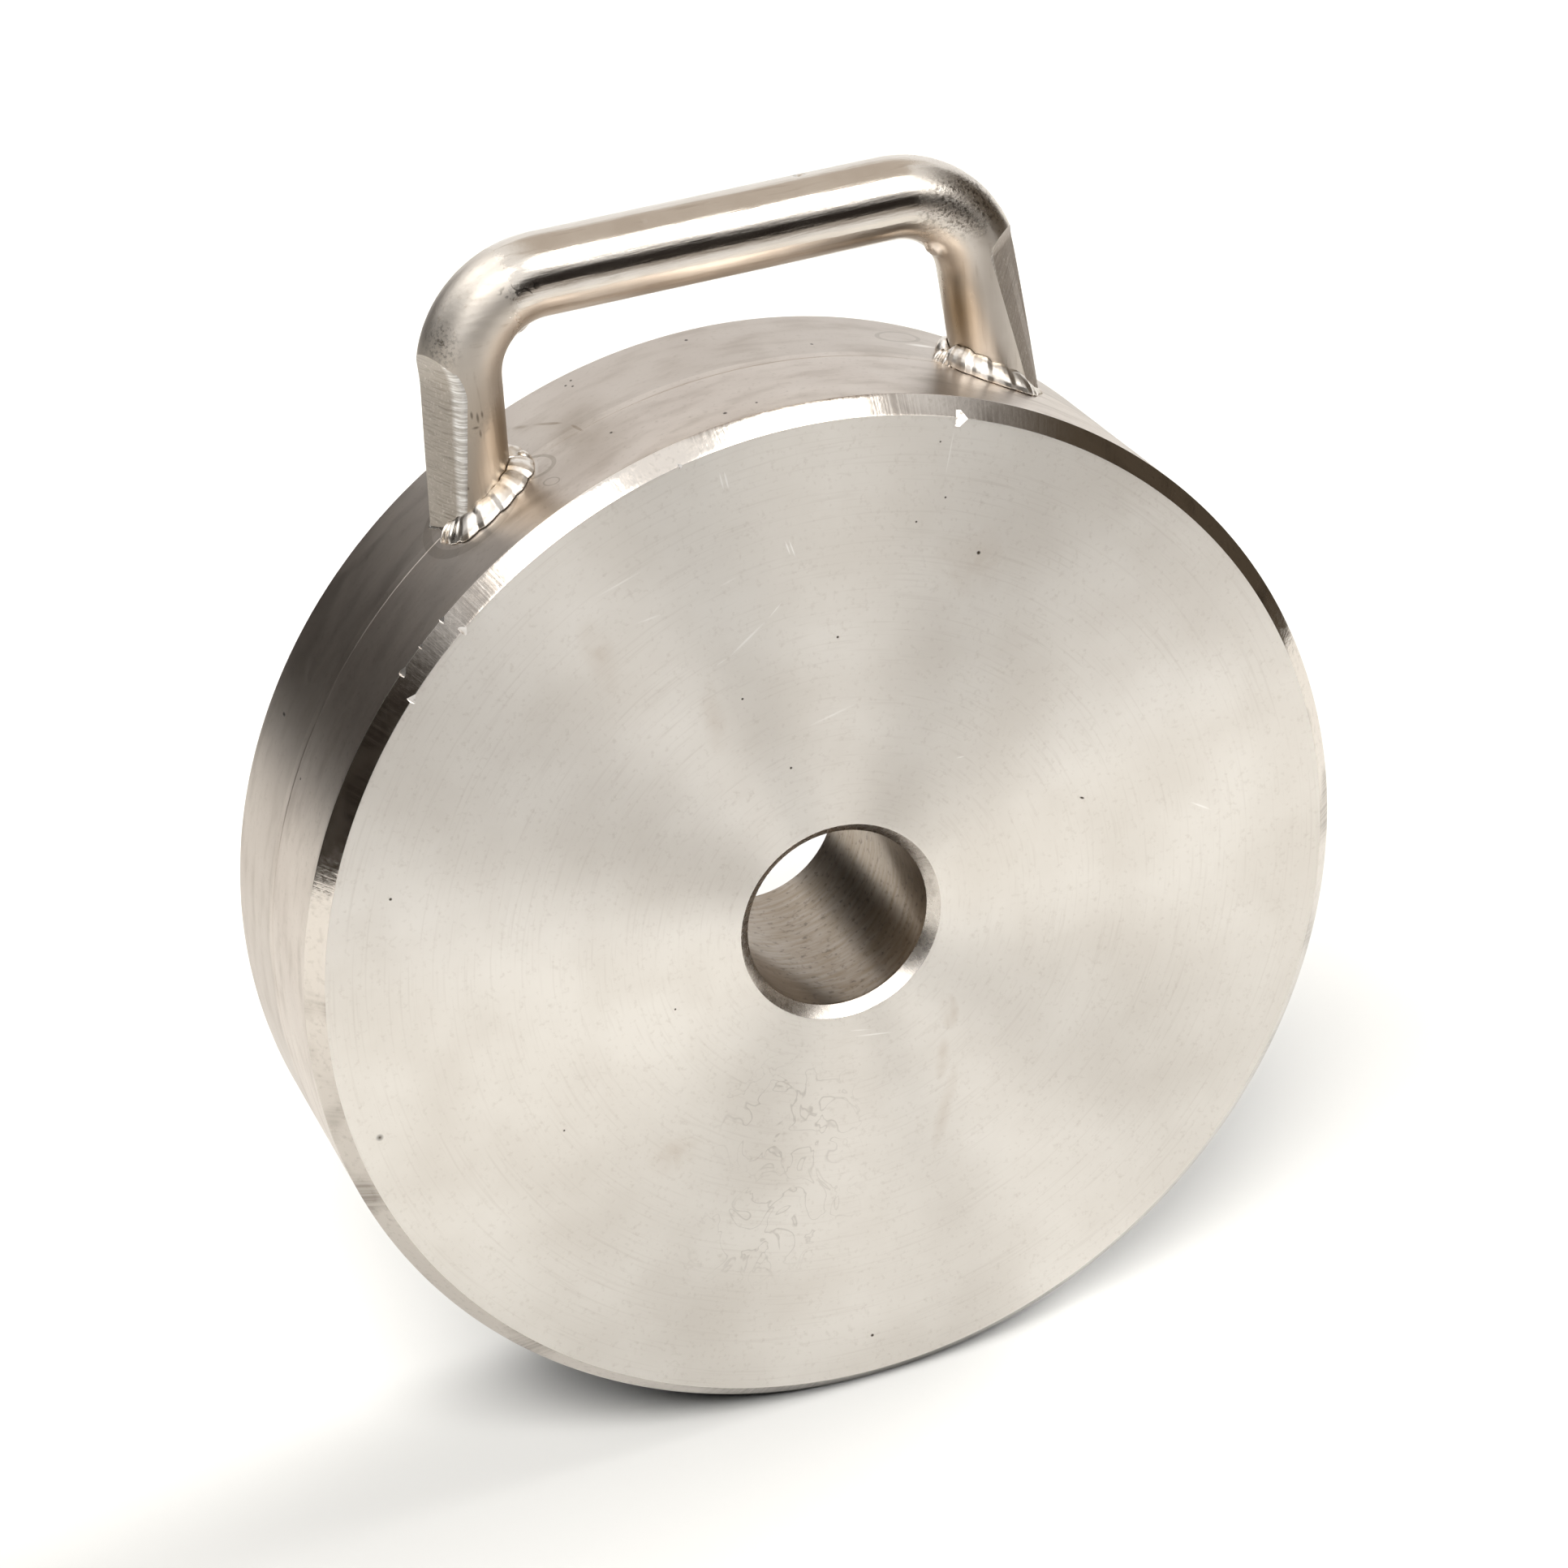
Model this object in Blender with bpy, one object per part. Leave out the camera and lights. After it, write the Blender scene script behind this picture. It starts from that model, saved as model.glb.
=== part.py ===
"""Round steel counterweight: a turned disc with a through bore, and a bent carrying handle welded to its rim.

Metres, +Z up. The disc stands on its rim with its axis along Y and its front face towards -Y.
The frame's origin is the lowest point of the rim, halfway through the thickness.
"""

import math
from collections import namedtuple

import bmesh
import bpy
from mathutils import Matrix, Vector

# Disc, turned from one piece of steel bar
RIM_DIAMETER = 0.200
DISC_THICKNESS = 0.052
RIM_CHAMFER = 0.003
BORE_DIAMETER = 0.035
BORE_CHAMFER = 0.002
RIM_SIDES = 144

# The rim was turned from both ends, and a fine line stays where the two cuts meet
CUT_LINE_BEHIND_MIDDLE = 0.0012
CUT_LINE_WIDTH = 0.0004
CUT_LINE_DEPTH = 0.00015

# Handle, one round bar bent twice
BAR_DIAMETER = 0.015
BAR_SIDES = 36
HAND_GAP = 0.0168
GRIP_RISE_TO_LEFT = 0.0011
LEG_SPACING_AT_GRIP = 0.096
LEG_SPLAY = math.radians(3.3)
BEND_RADIUS = 0.0165
BEND_STEPS = 14
HANDLE_SET_BACK = 0.0015

# Flats ground by hand on the outer side of each leg, turned a little to the front
FLAT_RUN_OUT_RADIUS = 0.006
FLAT_RUN_OUT_STEPS = 6
LEFT_FLAT_TURN = math.radians(19.0)
LEFT_FLAT_DEPTH_AT_BEND = 0.0022
LEFT_FLAT_DEPTH_AT_FOOT = 0.0027
LEFT_FLAT_PAST_BEND = 0.0045
RIGHT_FLAT_TURN = math.radians(34.0)
RIGHT_FLAT_DEPTH_AT_BEND = 0.0022
RIGHT_FLAT_DEPTH_AT_FOOT = 0.0008
RIGHT_FLAT_PAST_BEND = 0.0060

# Fillet welds, laid as overlapping drops round the front half and the back half of each foot
LEFT_WELD_ON_RIM = 0.0054
LEFT_WELD_ON_BAR = 0.0030
RIGHT_WELD_ON_RIM = 0.0032
RIGHT_WELD_ON_BAR = 0.0038
WELD_CROWN = 0.0006
WELD_DROP_PITCH = 0.0034
WELD_DROP_SWELL = 0.13
WELD_DROP_LEAN = 0.6
WELD_STEPS_PER_DROP = 4
WELD_FACE_STEPS = 6
WELD_END_ANGLE = math.radians(4.0)
WELD_END_TAPER = 0.55
WELD_OPEN_SIDE_TRIM = 0.30

# Pieces that touch keep this gap, so that each stays a solid of its own
SEAT_GAP = 0.0003

RIM_RADIUS = RIM_DIAMETER / 2
BORE_RADIUS = BORE_DIAMETER / 2
BAR_RADIUS = BAR_DIAMETER / 2
HALF_THICKNESS = DISC_THICKNESS / 2
AXIS_HEIGHT = RIM_RADIUS * math.cos(math.pi / RIM_SIDES)
GRIP_HEIGHT = RIM_RADIUS + HAND_GAP + BAR_RADIUS
GRIP_SLOPE = math.atan2(GRIP_RISE_TO_LEFT, LEG_SPACING_AT_GRIP)
FRONT, BACK = -1, 1
Leg = namedtuple("Leg", "name side flat_turn flat_at_bend flat_at_foot flat_past_bend weld_on_rim weld_on_bar")
LEFT = Leg(
    "left",
    -1,
    LEFT_FLAT_TURN,
    LEFT_FLAT_DEPTH_AT_BEND,
    LEFT_FLAT_DEPTH_AT_FOOT,
    LEFT_FLAT_PAST_BEND,
    LEFT_WELD_ON_RIM,
    LEFT_WELD_ON_BAR,
)
RIGHT = Leg(
    "right",
    1,
    RIGHT_FLAT_TURN,
    RIGHT_FLAT_DEPTH_AT_BEND,
    RIGHT_FLAT_DEPTH_AT_FOOT,
    RIGHT_FLAT_PAST_BEND,
    RIGHT_WELD_ON_RIM,
    RIGHT_WELD_ON_BAR,
)


def clear_scene():
    for obj in list(bpy.data.objects):
        bpy.data.objects.remove(obj, do_unlink=True)


def linear(hex_colour):
    """The linear colour of an sRGB hex value."""
    channels = [int(hex_colour[i : i + 2], 16) / 255 for i in (1, 3, 5)]
    return [c / 12.92 if c <= 0.04045 else ((c + 0.055) / 1.055) ** 2.4 for c in channels] + [1.0]


def steel(name, hex_colour, roughness):
    material = bpy.data.materials.new(name)
    material.use_nodes = True
    shader = material.node_tree.nodes["Principled BSDF"]
    shader.inputs["Base Color"].default_value = linear(hex_colour)
    shader.inputs["Metallic"].default_value = 1.0
    shader.inputs["Roughness"].default_value = roughness
    return material


def finish_piece(name, bm, material, parent, sharp_angle):
    """Turns a bmesh into a named object under the parent, shaded smooth up to the sharp angle."""
    bmesh.ops.recalc_face_normals(bm, faces=bm.faces[:])
    mesh = bpy.data.meshes.new(name)
    bm.to_mesh(mesh)
    bm.free()
    mesh.shade_smooth()
    mesh.set_sharp_from_angle(angle=sharp_angle)
    mesh.materials.append(material)
    piece = bpy.data.objects.new(name, mesh)
    bpy.context.collection.objects.link(piece)
    piece.parent = parent
    return piece


def cut(piece, cutter):
    cutter.hide_render = True
    cutter.display_type = "WIRE"
    boolean = piece.modifiers.new("cut by " + cutter.name, "BOOLEAN")
    boolean.operation = "DIFFERENCE"
    boolean.solver = "EXACT"
    boolean.object = cutter


def disc_profile():
    """Corners of the disc's half section as (radius, y), from the bore's front edge round the rim and back."""
    line_front = CUT_LINE_BEHIND_MIDDLE - CUT_LINE_WIDTH / 2
    line_back = CUT_LINE_BEHIND_MIDDLE + CUT_LINE_WIDTH / 2
    return [
        (BORE_RADIUS, -HALF_THICKNESS + BORE_CHAMFER),
        (BORE_RADIUS + BORE_CHAMFER, -HALF_THICKNESS),
        (RIM_RADIUS - RIM_CHAMFER, -HALF_THICKNESS),
        (RIM_RADIUS, -HALF_THICKNESS + RIM_CHAMFER),
        (RIM_RADIUS, line_front),
        (RIM_RADIUS - CUT_LINE_DEPTH, CUT_LINE_BEHIND_MIDDLE),
        (RIM_RADIUS, line_back),
        (RIM_RADIUS, HALF_THICKNESS - RIM_CHAMFER),
        (RIM_RADIUS - RIM_CHAMFER, HALF_THICKNESS),
        (BORE_RADIUS + BORE_CHAMFER, HALF_THICKNESS),
        (BORE_RADIUS, HALF_THICKNESS - BORE_CHAMFER),
    ]


def make_disc(material, parent):
    """The disc, spun from its half section. The first corner is half a step round, so a facet faces down."""
    bm = bmesh.new()
    half_step = math.pi / RIM_SIDES
    corners = []
    for radius, y in disc_profile():
        corners.append(bm.verts.new((radius * math.cos(half_step), y, radius * math.sin(half_step))))
    edges = [bm.edges.new((a, b)) for a, b in zip(corners, corners[1:] + corners[:1])]
    bmesh.ops.spin(
        bm,
        geom=corners + edges,
        axis=(0, 1, 0),
        cent=(0, 0, 0),
        angle=2 * math.pi,
        steps=RIM_SIDES,
        use_merge=True,
    )
    bmesh.ops.remove_doubles(bm, verts=bm.verts[:], dist=1e-6)
    return finish_piece("weight_disc", bm, material, parent, math.radians(30))


def grip_end(leg):
    """The corner where the centre lines of the grip and one leg would meet."""
    rise = -leg.side * GRIP_RISE_TO_LEFT / 2
    return Vector((leg.side * LEG_SPACING_AT_GRIP / 2, HANDLE_SET_BACK, GRIP_HEIGHT + rise))


def leg_up(leg):
    """Unit vector up a leg. The legs lean in towards the grip."""
    return Vector((-leg.side * math.sin(LEG_SPLAY), 0, math.cos(LEG_SPLAY)))


def leg_out(leg):
    """Unit vector from a leg's centre line to its outer side, square to the leg."""
    return Vector((leg.side * math.cos(LEG_SPLAY), 0, math.sin(LEG_SPLAY)))


def bend_angle(leg):
    """How far the bar turns at one bend, from the leg's direction to the grip's."""
    return math.pi / 2 - LEG_SPLAY - leg.side * GRIP_SLOPE


def bend_setback(leg):
    """How far from the corner of the centre lines a bend starts and ends."""
    return BEND_RADIUS * math.tan(bend_angle(leg) / 2)


def bend_start(leg):
    """The point on a leg's centre line where its bend starts."""
    return grip_end(leg) - leg_up(leg) * bend_setback(leg)


def height_on_rim(leg, beside, radius):
    """Height above the start of the bend, along a line beside the leg, where it meets a cylinder round the disc's axis."""
    up, start = leg_up(leg), bend_start(leg) + beside
    along = start.x * up.x + start.z * up.z
    return -along + math.sqrt(along**2 - (start.x**2 + start.z**2 - radius**2))


def leg_length(leg):
    """Length of a leg's centre line from the rim to the start of its bend."""
    return -height_on_rim(leg, Vector((0, 0, 0)), RIM_RADIUS)


def extruded(bm, ring, shift):
    """Draws the bar's open end along by shift and gives the edges of the new end."""
    grown = bmesh.ops.extrude_edge_only(bm, edges=ring)["geom"]
    bmesh.ops.translate(bm, verts=[v for v in grown if isinstance(v, bmesh.types.BMVert)], vec=shift)
    return [e for e in grown if isinstance(e, bmesh.types.BMEdge)]


def bent(bm, ring, centre, angle):
    """Bends the bar on from its open end, round a centre, and gives the edges of the new end."""
    swept = bmesh.ops.spin(bm, geom=ring, axis=(0, 1, 0), cent=centre, angle=angle, steps=BEND_STEPS)
    return [e for e in swept["geom_last"] if isinstance(e, bmesh.types.BMEdge)]


def make_handle(material, parent):
    """The bar, started inside the disc's rim, run up the left leg, across the grip and down the right leg."""
    bm = bmesh.new()
    up, out = leg_up(LEFT), leg_out(LEFT)
    start, turn = bend_start(LEFT), bend_start(RIGHT)
    left_leg, right_leg = (leg_length(leg) + BAR_DIAMETER for leg in (LEFT, RIGHT))
    upright = Matrix((out.cross(up), out, up)).transposed().to_4x4()
    foot = start - up * left_leg
    bmesh.ops.create_circle(
        bm,
        segments=BAR_SIDES,
        radius=BAR_RADIUS,
        matrix=Matrix.Translation(foot) @ upright,
    )
    end = extruded(bm, bm.edges[:], start - foot)
    end = bent(bm, end, start - out * BEND_RADIUS, bend_angle(LEFT))
    grip_way = (grip_end(RIGHT) - grip_end(LEFT)).normalized()
    grip_length = (grip_end(RIGHT) - grip_end(LEFT)).length - bend_setback(LEFT) - bend_setback(RIGHT)
    end = extruded(bm, end, grip_way * grip_length)
    end = bent(bm, end, turn - leg_out(RIGHT) * BEND_RADIUS, bend_angle(RIGHT))
    extruded(bm, end, -leg_up(RIGHT) * right_leg)
    bmesh.ops.holes_fill(bm, edges=bm.edges[:])
    handle = finish_piece("carry_handle", bm, material, parent, math.radians(30))

    # Each foot is coped to the rim, and each leg's outer side is ground flat
    bpy.ops.mesh.primitive_cylinder_add(
        vertices=RIM_SIDES,
        radius=RIM_RADIUS + SEAT_GAP,
        depth=DISC_THICKNESS + 2 * BAR_DIAMETER,
        rotation=(math.pi / 2, math.pi / RIM_SIDES, 0),
    )
    coping_cutter = bpy.context.object
    coping_cutter.name = "coping_cutter"
    coping_cutter.parent = parent
    cut(handle, coping_cutter)
    cut(handle, flat_cutter(LEFT, parent))
    cut(handle, flat_cutter(RIGHT, parent))
    return handle


def flat_normal(leg):
    """Unit vector square to the leg, out of its ground flat."""
    return leg_out(leg) * math.cos(leg.flat_turn) + Vector((0, FRONT * math.sin(leg.flat_turn), 0))


def flat_cutter(leg, parent):
    """A slab whose inner face is the ground flat and whose top rounds out of the bar, as a wheel leaves it."""
    normal, up = flat_normal(leg), leg_up(leg)
    across = normal.cross(up)
    slope = (leg.flat_at_bend - leg.flat_at_foot) / leg_length(leg)
    below_foot = leg_length(leg) + BAR_DIAMETER
    top = leg.flat_past_bend
    run_out = top - FLAT_RUN_OUT_RADIUS

    def on_face(height):
        return BAR_RADIUS - leg.flat_at_bend - slope * height

    profile = [(on_face(-below_foot), -below_foot), (on_face(run_out), run_out)]
    for step in range(1, FLAT_RUN_OUT_STEPS + 1):
        angle = step * math.pi / 2 / FLAT_RUN_OUT_STEPS
        outward = on_face(run_out) + FLAT_RUN_OUT_RADIUS * (1 - math.cos(angle))
        profile.append((outward, run_out + FLAT_RUN_OUT_RADIUS * math.sin(angle)))
    outer_side = BAR_RADIUS + FLAT_RUN_OUT_RADIUS
    profile.append((outer_side, top))
    profile.append((outer_side, -below_foot))

    bm = bmesh.new()
    corners = []
    for outward, height in profile:
        corners.append(bm.verts.new(bend_start(leg) + normal * outward + up * height - across * BAR_DIAMETER))
    outline = [bm.edges.new((a, b)) for a, b in zip(corners, corners[1:] + corners[:1])]
    extruded(bm, outline, across * 2 * BAR_DIAMETER)
    bmesh.ops.holes_fill(bm, edges=bm.edges[:])
    return finish_piece(leg.name + "_flat_cutter", bm, None, parent, math.radians(30))


def wall_radius(leg, facing, angle):
    """Distance from a leg's centre line to its wall at the foot, at an angle from its outer side to front or back."""
    off_flat = angle * FRONT * facing - leg.flat_turn
    to_flat = BAR_RADIUS - leg.flat_at_foot
    if math.cos(off_flat) * BAR_RADIUS <= to_flat:
        return BAR_RADIUS
    return to_flat / math.cos(off_flat)


def weld_section(leg, facing, angle, swell):
    """Closed section of a weld: out along the rim, back over the crowned face and down the bar's wall."""
    up = leg_up(leg)
    way = leg_out(leg) * math.cos(angle) + Vector((0, facing * math.sin(angle), 0))
    wall = wall_radius(leg, facing, angle) + SEAT_GAP
    on_rim = leg.weld_on_rim * swell
    on_bar = leg.weld_on_bar * swell * (1 - WELD_OPEN_SIDE_TRIM * math.cos(angle))

    def rim_point(reach):
        beside = way * reach
        return bend_start(leg) + beside + up * height_on_rim(leg, beside, RIM_RADIUS + SEAT_GAP)

    root, middle, toe_on_rim = (rim_point(wall + on_rim * share) for share in (0, 0.5, 1))
    toe_on_bar = root + up * on_bar
    slant = toe_on_bar - toe_on_rim
    crown_way = slant.cross(way.cross(up)).normalized()
    if crown_way.dot(way) < 0:
        crown_way.negate()
    section = [root, middle, toe_on_rim]
    for step in range(1, WELD_FACE_STEPS):
        share = step / WELD_FACE_STEPS
        crown = WELD_CROWN * swell * 4 * share * (1 - share)
        section.append(toe_on_rim + slant * share + crown_way * crown)
    section.append(toe_on_bar)
    return section


def make_weld(name, leg, facing, material, parent):
    """A fillet weld as a run of drops, each swelling quickly and drawing in slowly, closed at both ends."""
    run = (math.pi - 2 * WELD_END_ANGLE) * (BAR_RADIUS + leg.weld_on_rim / 2)
    drops = max(3, round(run / WELD_DROP_PITCH))
    steps = drops * WELD_STEPS_PER_DROP
    bm = bmesh.new()
    rings = []
    for step in range(steps + 1):
        share = step / steps
        angle = WELD_END_ANGLE + share * (math.pi - 2 * WELD_END_ANGLE)
        in_drop = (step % WELD_STEPS_PER_DROP) / WELD_STEPS_PER_DROP
        rise = math.sin(math.pi * in_drop**WELD_DROP_LEAN)
        from_end = min(1.0, drops * min(share, 1 - share))
        swell = (WELD_END_TAPER + (1 - WELD_END_TAPER) * from_end) * (1 - WELD_DROP_SWELL * (1 - rise))
        rings.append([bm.verts.new(p) for p in weld_section(leg, facing, angle, swell)])
    for ring, following in zip(rings, rings[1:]):
        for i in range(len(ring)):
            j = (i + 1) % len(ring)
            bm.faces.new((ring[i], ring[j], following[j], following[i]))
    bm.faces.new(rings[0])
    bm.faces.new(rings[-1])
    return finish_piece(name, bm, material, parent, math.radians(40))


clear_scene()
counterweight = bpy.data.objects.new("counterweight", None)
bpy.context.collection.objects.link(counterweight)
counterweight.location = (0, 0, AXIS_HEIGHT)

make_disc(steel("turned plated steel", "#D6D0C8", 0.32), counterweight)
make_handle(steel("plated steel bar", "#D2C9BC", 0.22), counterweight)
weld_steel = steel("plated weld", "#D8D0C4", 0.18)
for one_leg in (LEFT, RIGHT):
    make_weld("weld_" + one_leg.name + "_front", one_leg, FRONT, weld_steel, counterweight)
    make_weld("weld_" + one_leg.name + "_back", one_leg, BACK, weld_steel, counterweight)
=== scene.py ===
import math

import bmesh
import bpy
from mathutils import Matrix, Vector


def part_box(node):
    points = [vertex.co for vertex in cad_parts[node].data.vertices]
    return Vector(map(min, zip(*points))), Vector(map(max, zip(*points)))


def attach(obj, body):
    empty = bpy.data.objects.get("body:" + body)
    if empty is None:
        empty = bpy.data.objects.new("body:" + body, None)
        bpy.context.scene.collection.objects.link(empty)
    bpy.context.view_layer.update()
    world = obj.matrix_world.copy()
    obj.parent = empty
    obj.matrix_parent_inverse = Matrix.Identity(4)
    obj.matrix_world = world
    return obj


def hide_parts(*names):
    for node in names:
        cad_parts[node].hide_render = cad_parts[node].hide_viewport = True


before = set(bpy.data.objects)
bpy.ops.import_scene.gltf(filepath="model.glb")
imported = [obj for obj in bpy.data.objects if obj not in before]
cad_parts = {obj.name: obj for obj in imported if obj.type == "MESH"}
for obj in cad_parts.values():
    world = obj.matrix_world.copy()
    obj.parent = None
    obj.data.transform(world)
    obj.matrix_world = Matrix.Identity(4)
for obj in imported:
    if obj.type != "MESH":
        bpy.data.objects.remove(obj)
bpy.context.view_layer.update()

# Studio. A pale floor in a white surround, three soft lamps that reflections show, three more that cast the
# shadow on the floor, and dark cards round the sides and on the floor in front. The cards show only in
# reflections: bare metal gets its dark edges from them. Nothing here is the object.

CAMERA_PLACE = Vector((-0.21766, -0.69227, 0.47701))
CAMERA_AIM = Vector((0.00042, 0.0, 0.11700))
CAMERA_ROLL = math.radians(6.915)
LENS = 100.2

FLOOR_SIZE = 60.0
FLOOR_COLOUR = "#F2F1EF"
FLOOR_COLOUR_IN_METAL = "#E1E0DE"
SURROUND_COLOUR = "#FFFFFF"
AMBIENT = 0.04

# Each lamp: direction from the object (azimuth from straight behind, clockwise from above; elevation),
# width, power, and whether it is one that reflections show. The others light the floor, and so cast the
# shadow.
LAMPS = {
    "right_softbox": (144, 47, 40, 1.00, True),
    "left_softbox": (-147, 48, 30, 0.58, True),
    "rear_softbox": (-62, 60, 30, 0.35, True),
    "front_light_on_floor": (-165, 50, 30, 2.45, False),
    "left_light_on_floor": (-120, 50, 30, 1.15, False),
    "right_light_on_floor": (75, 20, 50, 5.00, False),
}
LAMP_COLOUR = "#FFFEFB"

# Each card: its two ends on the floor, its top, its colour, and the shares of its length and height that
# fade out
CARDS = {
    "right_card": ((0.64, -0.50), (0.64, 0.42), 1.16, "#50473C", 0.14, 0.60),
    "front_card": ((1.30, -0.97), (-0.06, -0.97), 0.80, "#241F1B", 0.06, 0.50),
    "front_left_card": ((-0.04, -0.99), (-1.20, -0.99), 0.42, "#2C2723", 0.08, 0.40),
    "left_card": ((-3.00, -3.00), (-3.00, 1.60), 4.30, "#3A3530", 0.10, 0.55),
    "left_rear_card": ((-2.20, 0.30), (-0.14, 1.16), 1.00, "#2A2623", 0.08, 0.26),
}

# Each card that lies flat: two opposite corners, its height, its colour, and its fades
FLAT_CARDS = {
    "floor_card": ((-0.60, -0.97), (1.30, -0.26), 0.002, "#A9A39C", 0.08, 0.52),
    "ceiling": ((-0.25, -0.60), (2.2, 2.60), 2.0, "#CCC3B9", 0.25, 0.25),
}


def linear(hex_colour):
    """The linear colour of an sRGB hex value."""
    channels = [int(hex_colour[i : i + 2], 16) / 255 for i in (1, 3, 5)]
    return [c / 12.92 if c <= 0.04045 else ((c + 0.055) / 1.055) ** 2.4 for c in channels] + [1.0]


def feed(tree, node, inputs):
    """Gives a node its inputs, by name or in the sockets' order: values, or the nodes or sockets to link."""
    for name, value in inputs.items() if isinstance(inputs, dict) else enumerate(inputs):
        if isinstance(value, bpy.types.Node):
            value = next(s for s in value.outputs if s.enabled)
        if isinstance(value, bpy.types.NodeSocket):
            tree.links.new(value, node.inputs[name])
        else:
            node.inputs[name].default_value = value


def add(tree, kind, settings=(), inputs=()):
    """Adds a node with its settings, which are properties, and its inputs."""
    made = tree.nodes.new(kind)
    for name, value in dict(settings).items():
        setattr(made, name, value)
    feed(tree, made, inputs)
    return made


def layered(tree, base, tints):
    """A base colour with tints laid over it. Each has its amount, or a pattern and its Map Range's numbers."""
    colour = linear(base)
    for tint, amount, *spread in tints:
        if spread:
            amount = add(tree, "ShaderNodeMapRange", {}, [amount, *spread])
        colour = add(tree, "ShaderNodeMix", {"data_type": "RGBA"}, {0: amount, 6: colour, 7: linear(tint)})
    return colour


def new_material(name):
    """A material with an empty tree and its output node."""
    material = bpy.data.materials.new(name)
    material.use_nodes = True
    material.node_tree.nodes.clear()
    return material, material.node_tree, material.node_tree.nodes.new("ShaderNodeOutputMaterial")


def new_piece(name, mesh):
    piece = bpy.data.objects.new(name, mesh)
    bpy.context.collection.objects.link(piece)
    return piece


def seen_or_mirrored(tree):
    """1 for rays from the camera and for reflected or refracted ones, 0 for light that falls on things."""
    path = add(tree, "ShaderNodeLightPath")
    rays = [path.outputs[name] for name in ("Is Camera Ray", "Is Glossy Ray", "Is Transmission Ray")]
    either = add(tree, "ShaderNodeMath", {"operation": "MAXIMUM"}, [rays[0], rays[1]])
    return add(tree, "ShaderNodeMath", {"operation": "MAXIMUM"}, [either, rays[2]])


camera = bpy.data.objects.new("camera", bpy.data.cameras.new("camera"))
bpy.context.collection.objects.link(camera)
camera.data.lens = LENS
camera.location = CAMERA_PLACE
aim = (CAMERA_AIM - CAMERA_PLACE).to_track_quat("-Z", "Y").to_matrix()
camera.rotation_euler = (aim @ Matrix.Rotation(-CAMERA_ROLL, 3, "Z")).to_euler()
camera.data.clip_end = FLOOR_SIZE
bpy.context.scene.camera = camera
bpy.context.scene.view_settings.view_transform = "Standard"
bpy.context.scene.cycles.diffuse_bounces = 0  # light off the metal would fill its shadow on the floor

surround = bpy.data.worlds.new("white surround")
surround.use_nodes = True
tree = surround.node_tree
tree.nodes.clear()
level = add(tree, "ShaderNodeMapRange", {}, [seen_or_mirrored(tree), 0.0, 1.0, AMBIENT, 1.0])
background = add(tree, "ShaderNodeBackground", inputs={"Color": linear(SURROUND_COLOUR), "Strength": level})
add(tree, "ShaderNodeOutputWorld", inputs={"Surface": background})
bpy.context.scene.world = surround

for name, (azimuth, elevation, width, power, mirrored) in LAMPS.items():
    lamp = bpy.data.objects.new(name, bpy.data.lights.new(name, "SUN"))
    bpy.context.collection.objects.link(lamp)
    lamp.data.angle = math.radians(width)
    lamp.data.energy = power
    lamp.data.color = linear(LAMP_COLOUR)[:3]
    swing = Matrix.Rotation(math.radians(180 - azimuth), 3, "Z")
    tilt = Matrix.Rotation(math.radians(90 - elevation), 3, "X")
    lamp.rotation_euler = (swing @ tilt).to_euler()
    lamp.visible_camera = False
    lamp.visible_glossy = mirrored
    lamp.visible_diffuse = not mirrored

floor_mesh = bpy.data.meshes.new("floor")
half = FLOOR_SIZE / 2
floor_corners = [(-half, -half, 0), (half, -half, 0), (half, half, 0), (-half, half, 0)]
floor_mesh.from_pydata(floor_corners, [], [(0, 1, 2, 3)])
floor = new_piece("floor", floor_mesh)
material, tree, output = new_material("white paper")
in_metal = add(tree, "ShaderNodeLightPath").outputs["Is Glossy Ray"]
colour = layered(tree, FLOOR_COLOUR, [(FLOOR_COLOUR_IN_METAL, in_metal)])
paper = add(tree, "ShaderNodeBsdfDiffuse", inputs={"Color": colour})
tree.links.new(paper.outputs[0], output.inputs["Surface"])
floor_mesh.materials.append(material)


def make_card(name, corners, colour, side_fade, top_fade):
    """A dark card that only reflections see. Its sides and its top fade to the white of the surround."""
    mesh = bpy.data.meshes.new(name)
    mesh.from_pydata(corners, [], [(0, 1, 2, 3)])
    corner_places = [(0, 0), (1, 0), (1, 1), (0, 1)]
    layer = mesh.uv_layers.new(name="card")
    for loop, place in zip(layer.data, corner_places):
        loop.uv = place
    material, tree, output = new_material(name)
    split = add(tree, "ShaderNodeSeparateXYZ", inputs=[add(tree, "ShaderNodeUVMap", {"uv_map": "card"})])
    other_side = add(tree, "ShaderNodeMath", {"operation": "SUBTRACT"}, [1.0, split.outputs["X"]])
    from_side = add(tree, "ShaderNodeMath", {"operation": "MINIMUM"}, [split.outputs["X"], other_side])
    from_top = add(tree, "ShaderNodeMath", {"operation": "SUBTRACT"}, [1.0, split.outputs["Y"]])
    dark = [
        add(tree, "ShaderNodeMapRange", {"interpolation_type": "SMOOTHSTEP"}, [distance, 0.0, fade])
        for distance, fade in ((from_side, side_fade), (from_top, top_fade))
    ]
    both = add(tree, "ShaderNodeMath", {"operation": "MULTIPLY"}, dark)
    felt = add(tree, "ShaderNodeEmission", inputs={"Color": layered(tree, SURROUND_COLOUR, [(colour, both)])})
    tree.links.new(felt.outputs[0], output.inputs["Surface"])
    mesh.materials.append(material)
    card = new_piece(name, mesh)
    card.visible_camera = False
    card.visible_diffuse = False
    card.visible_shadow = False


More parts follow.
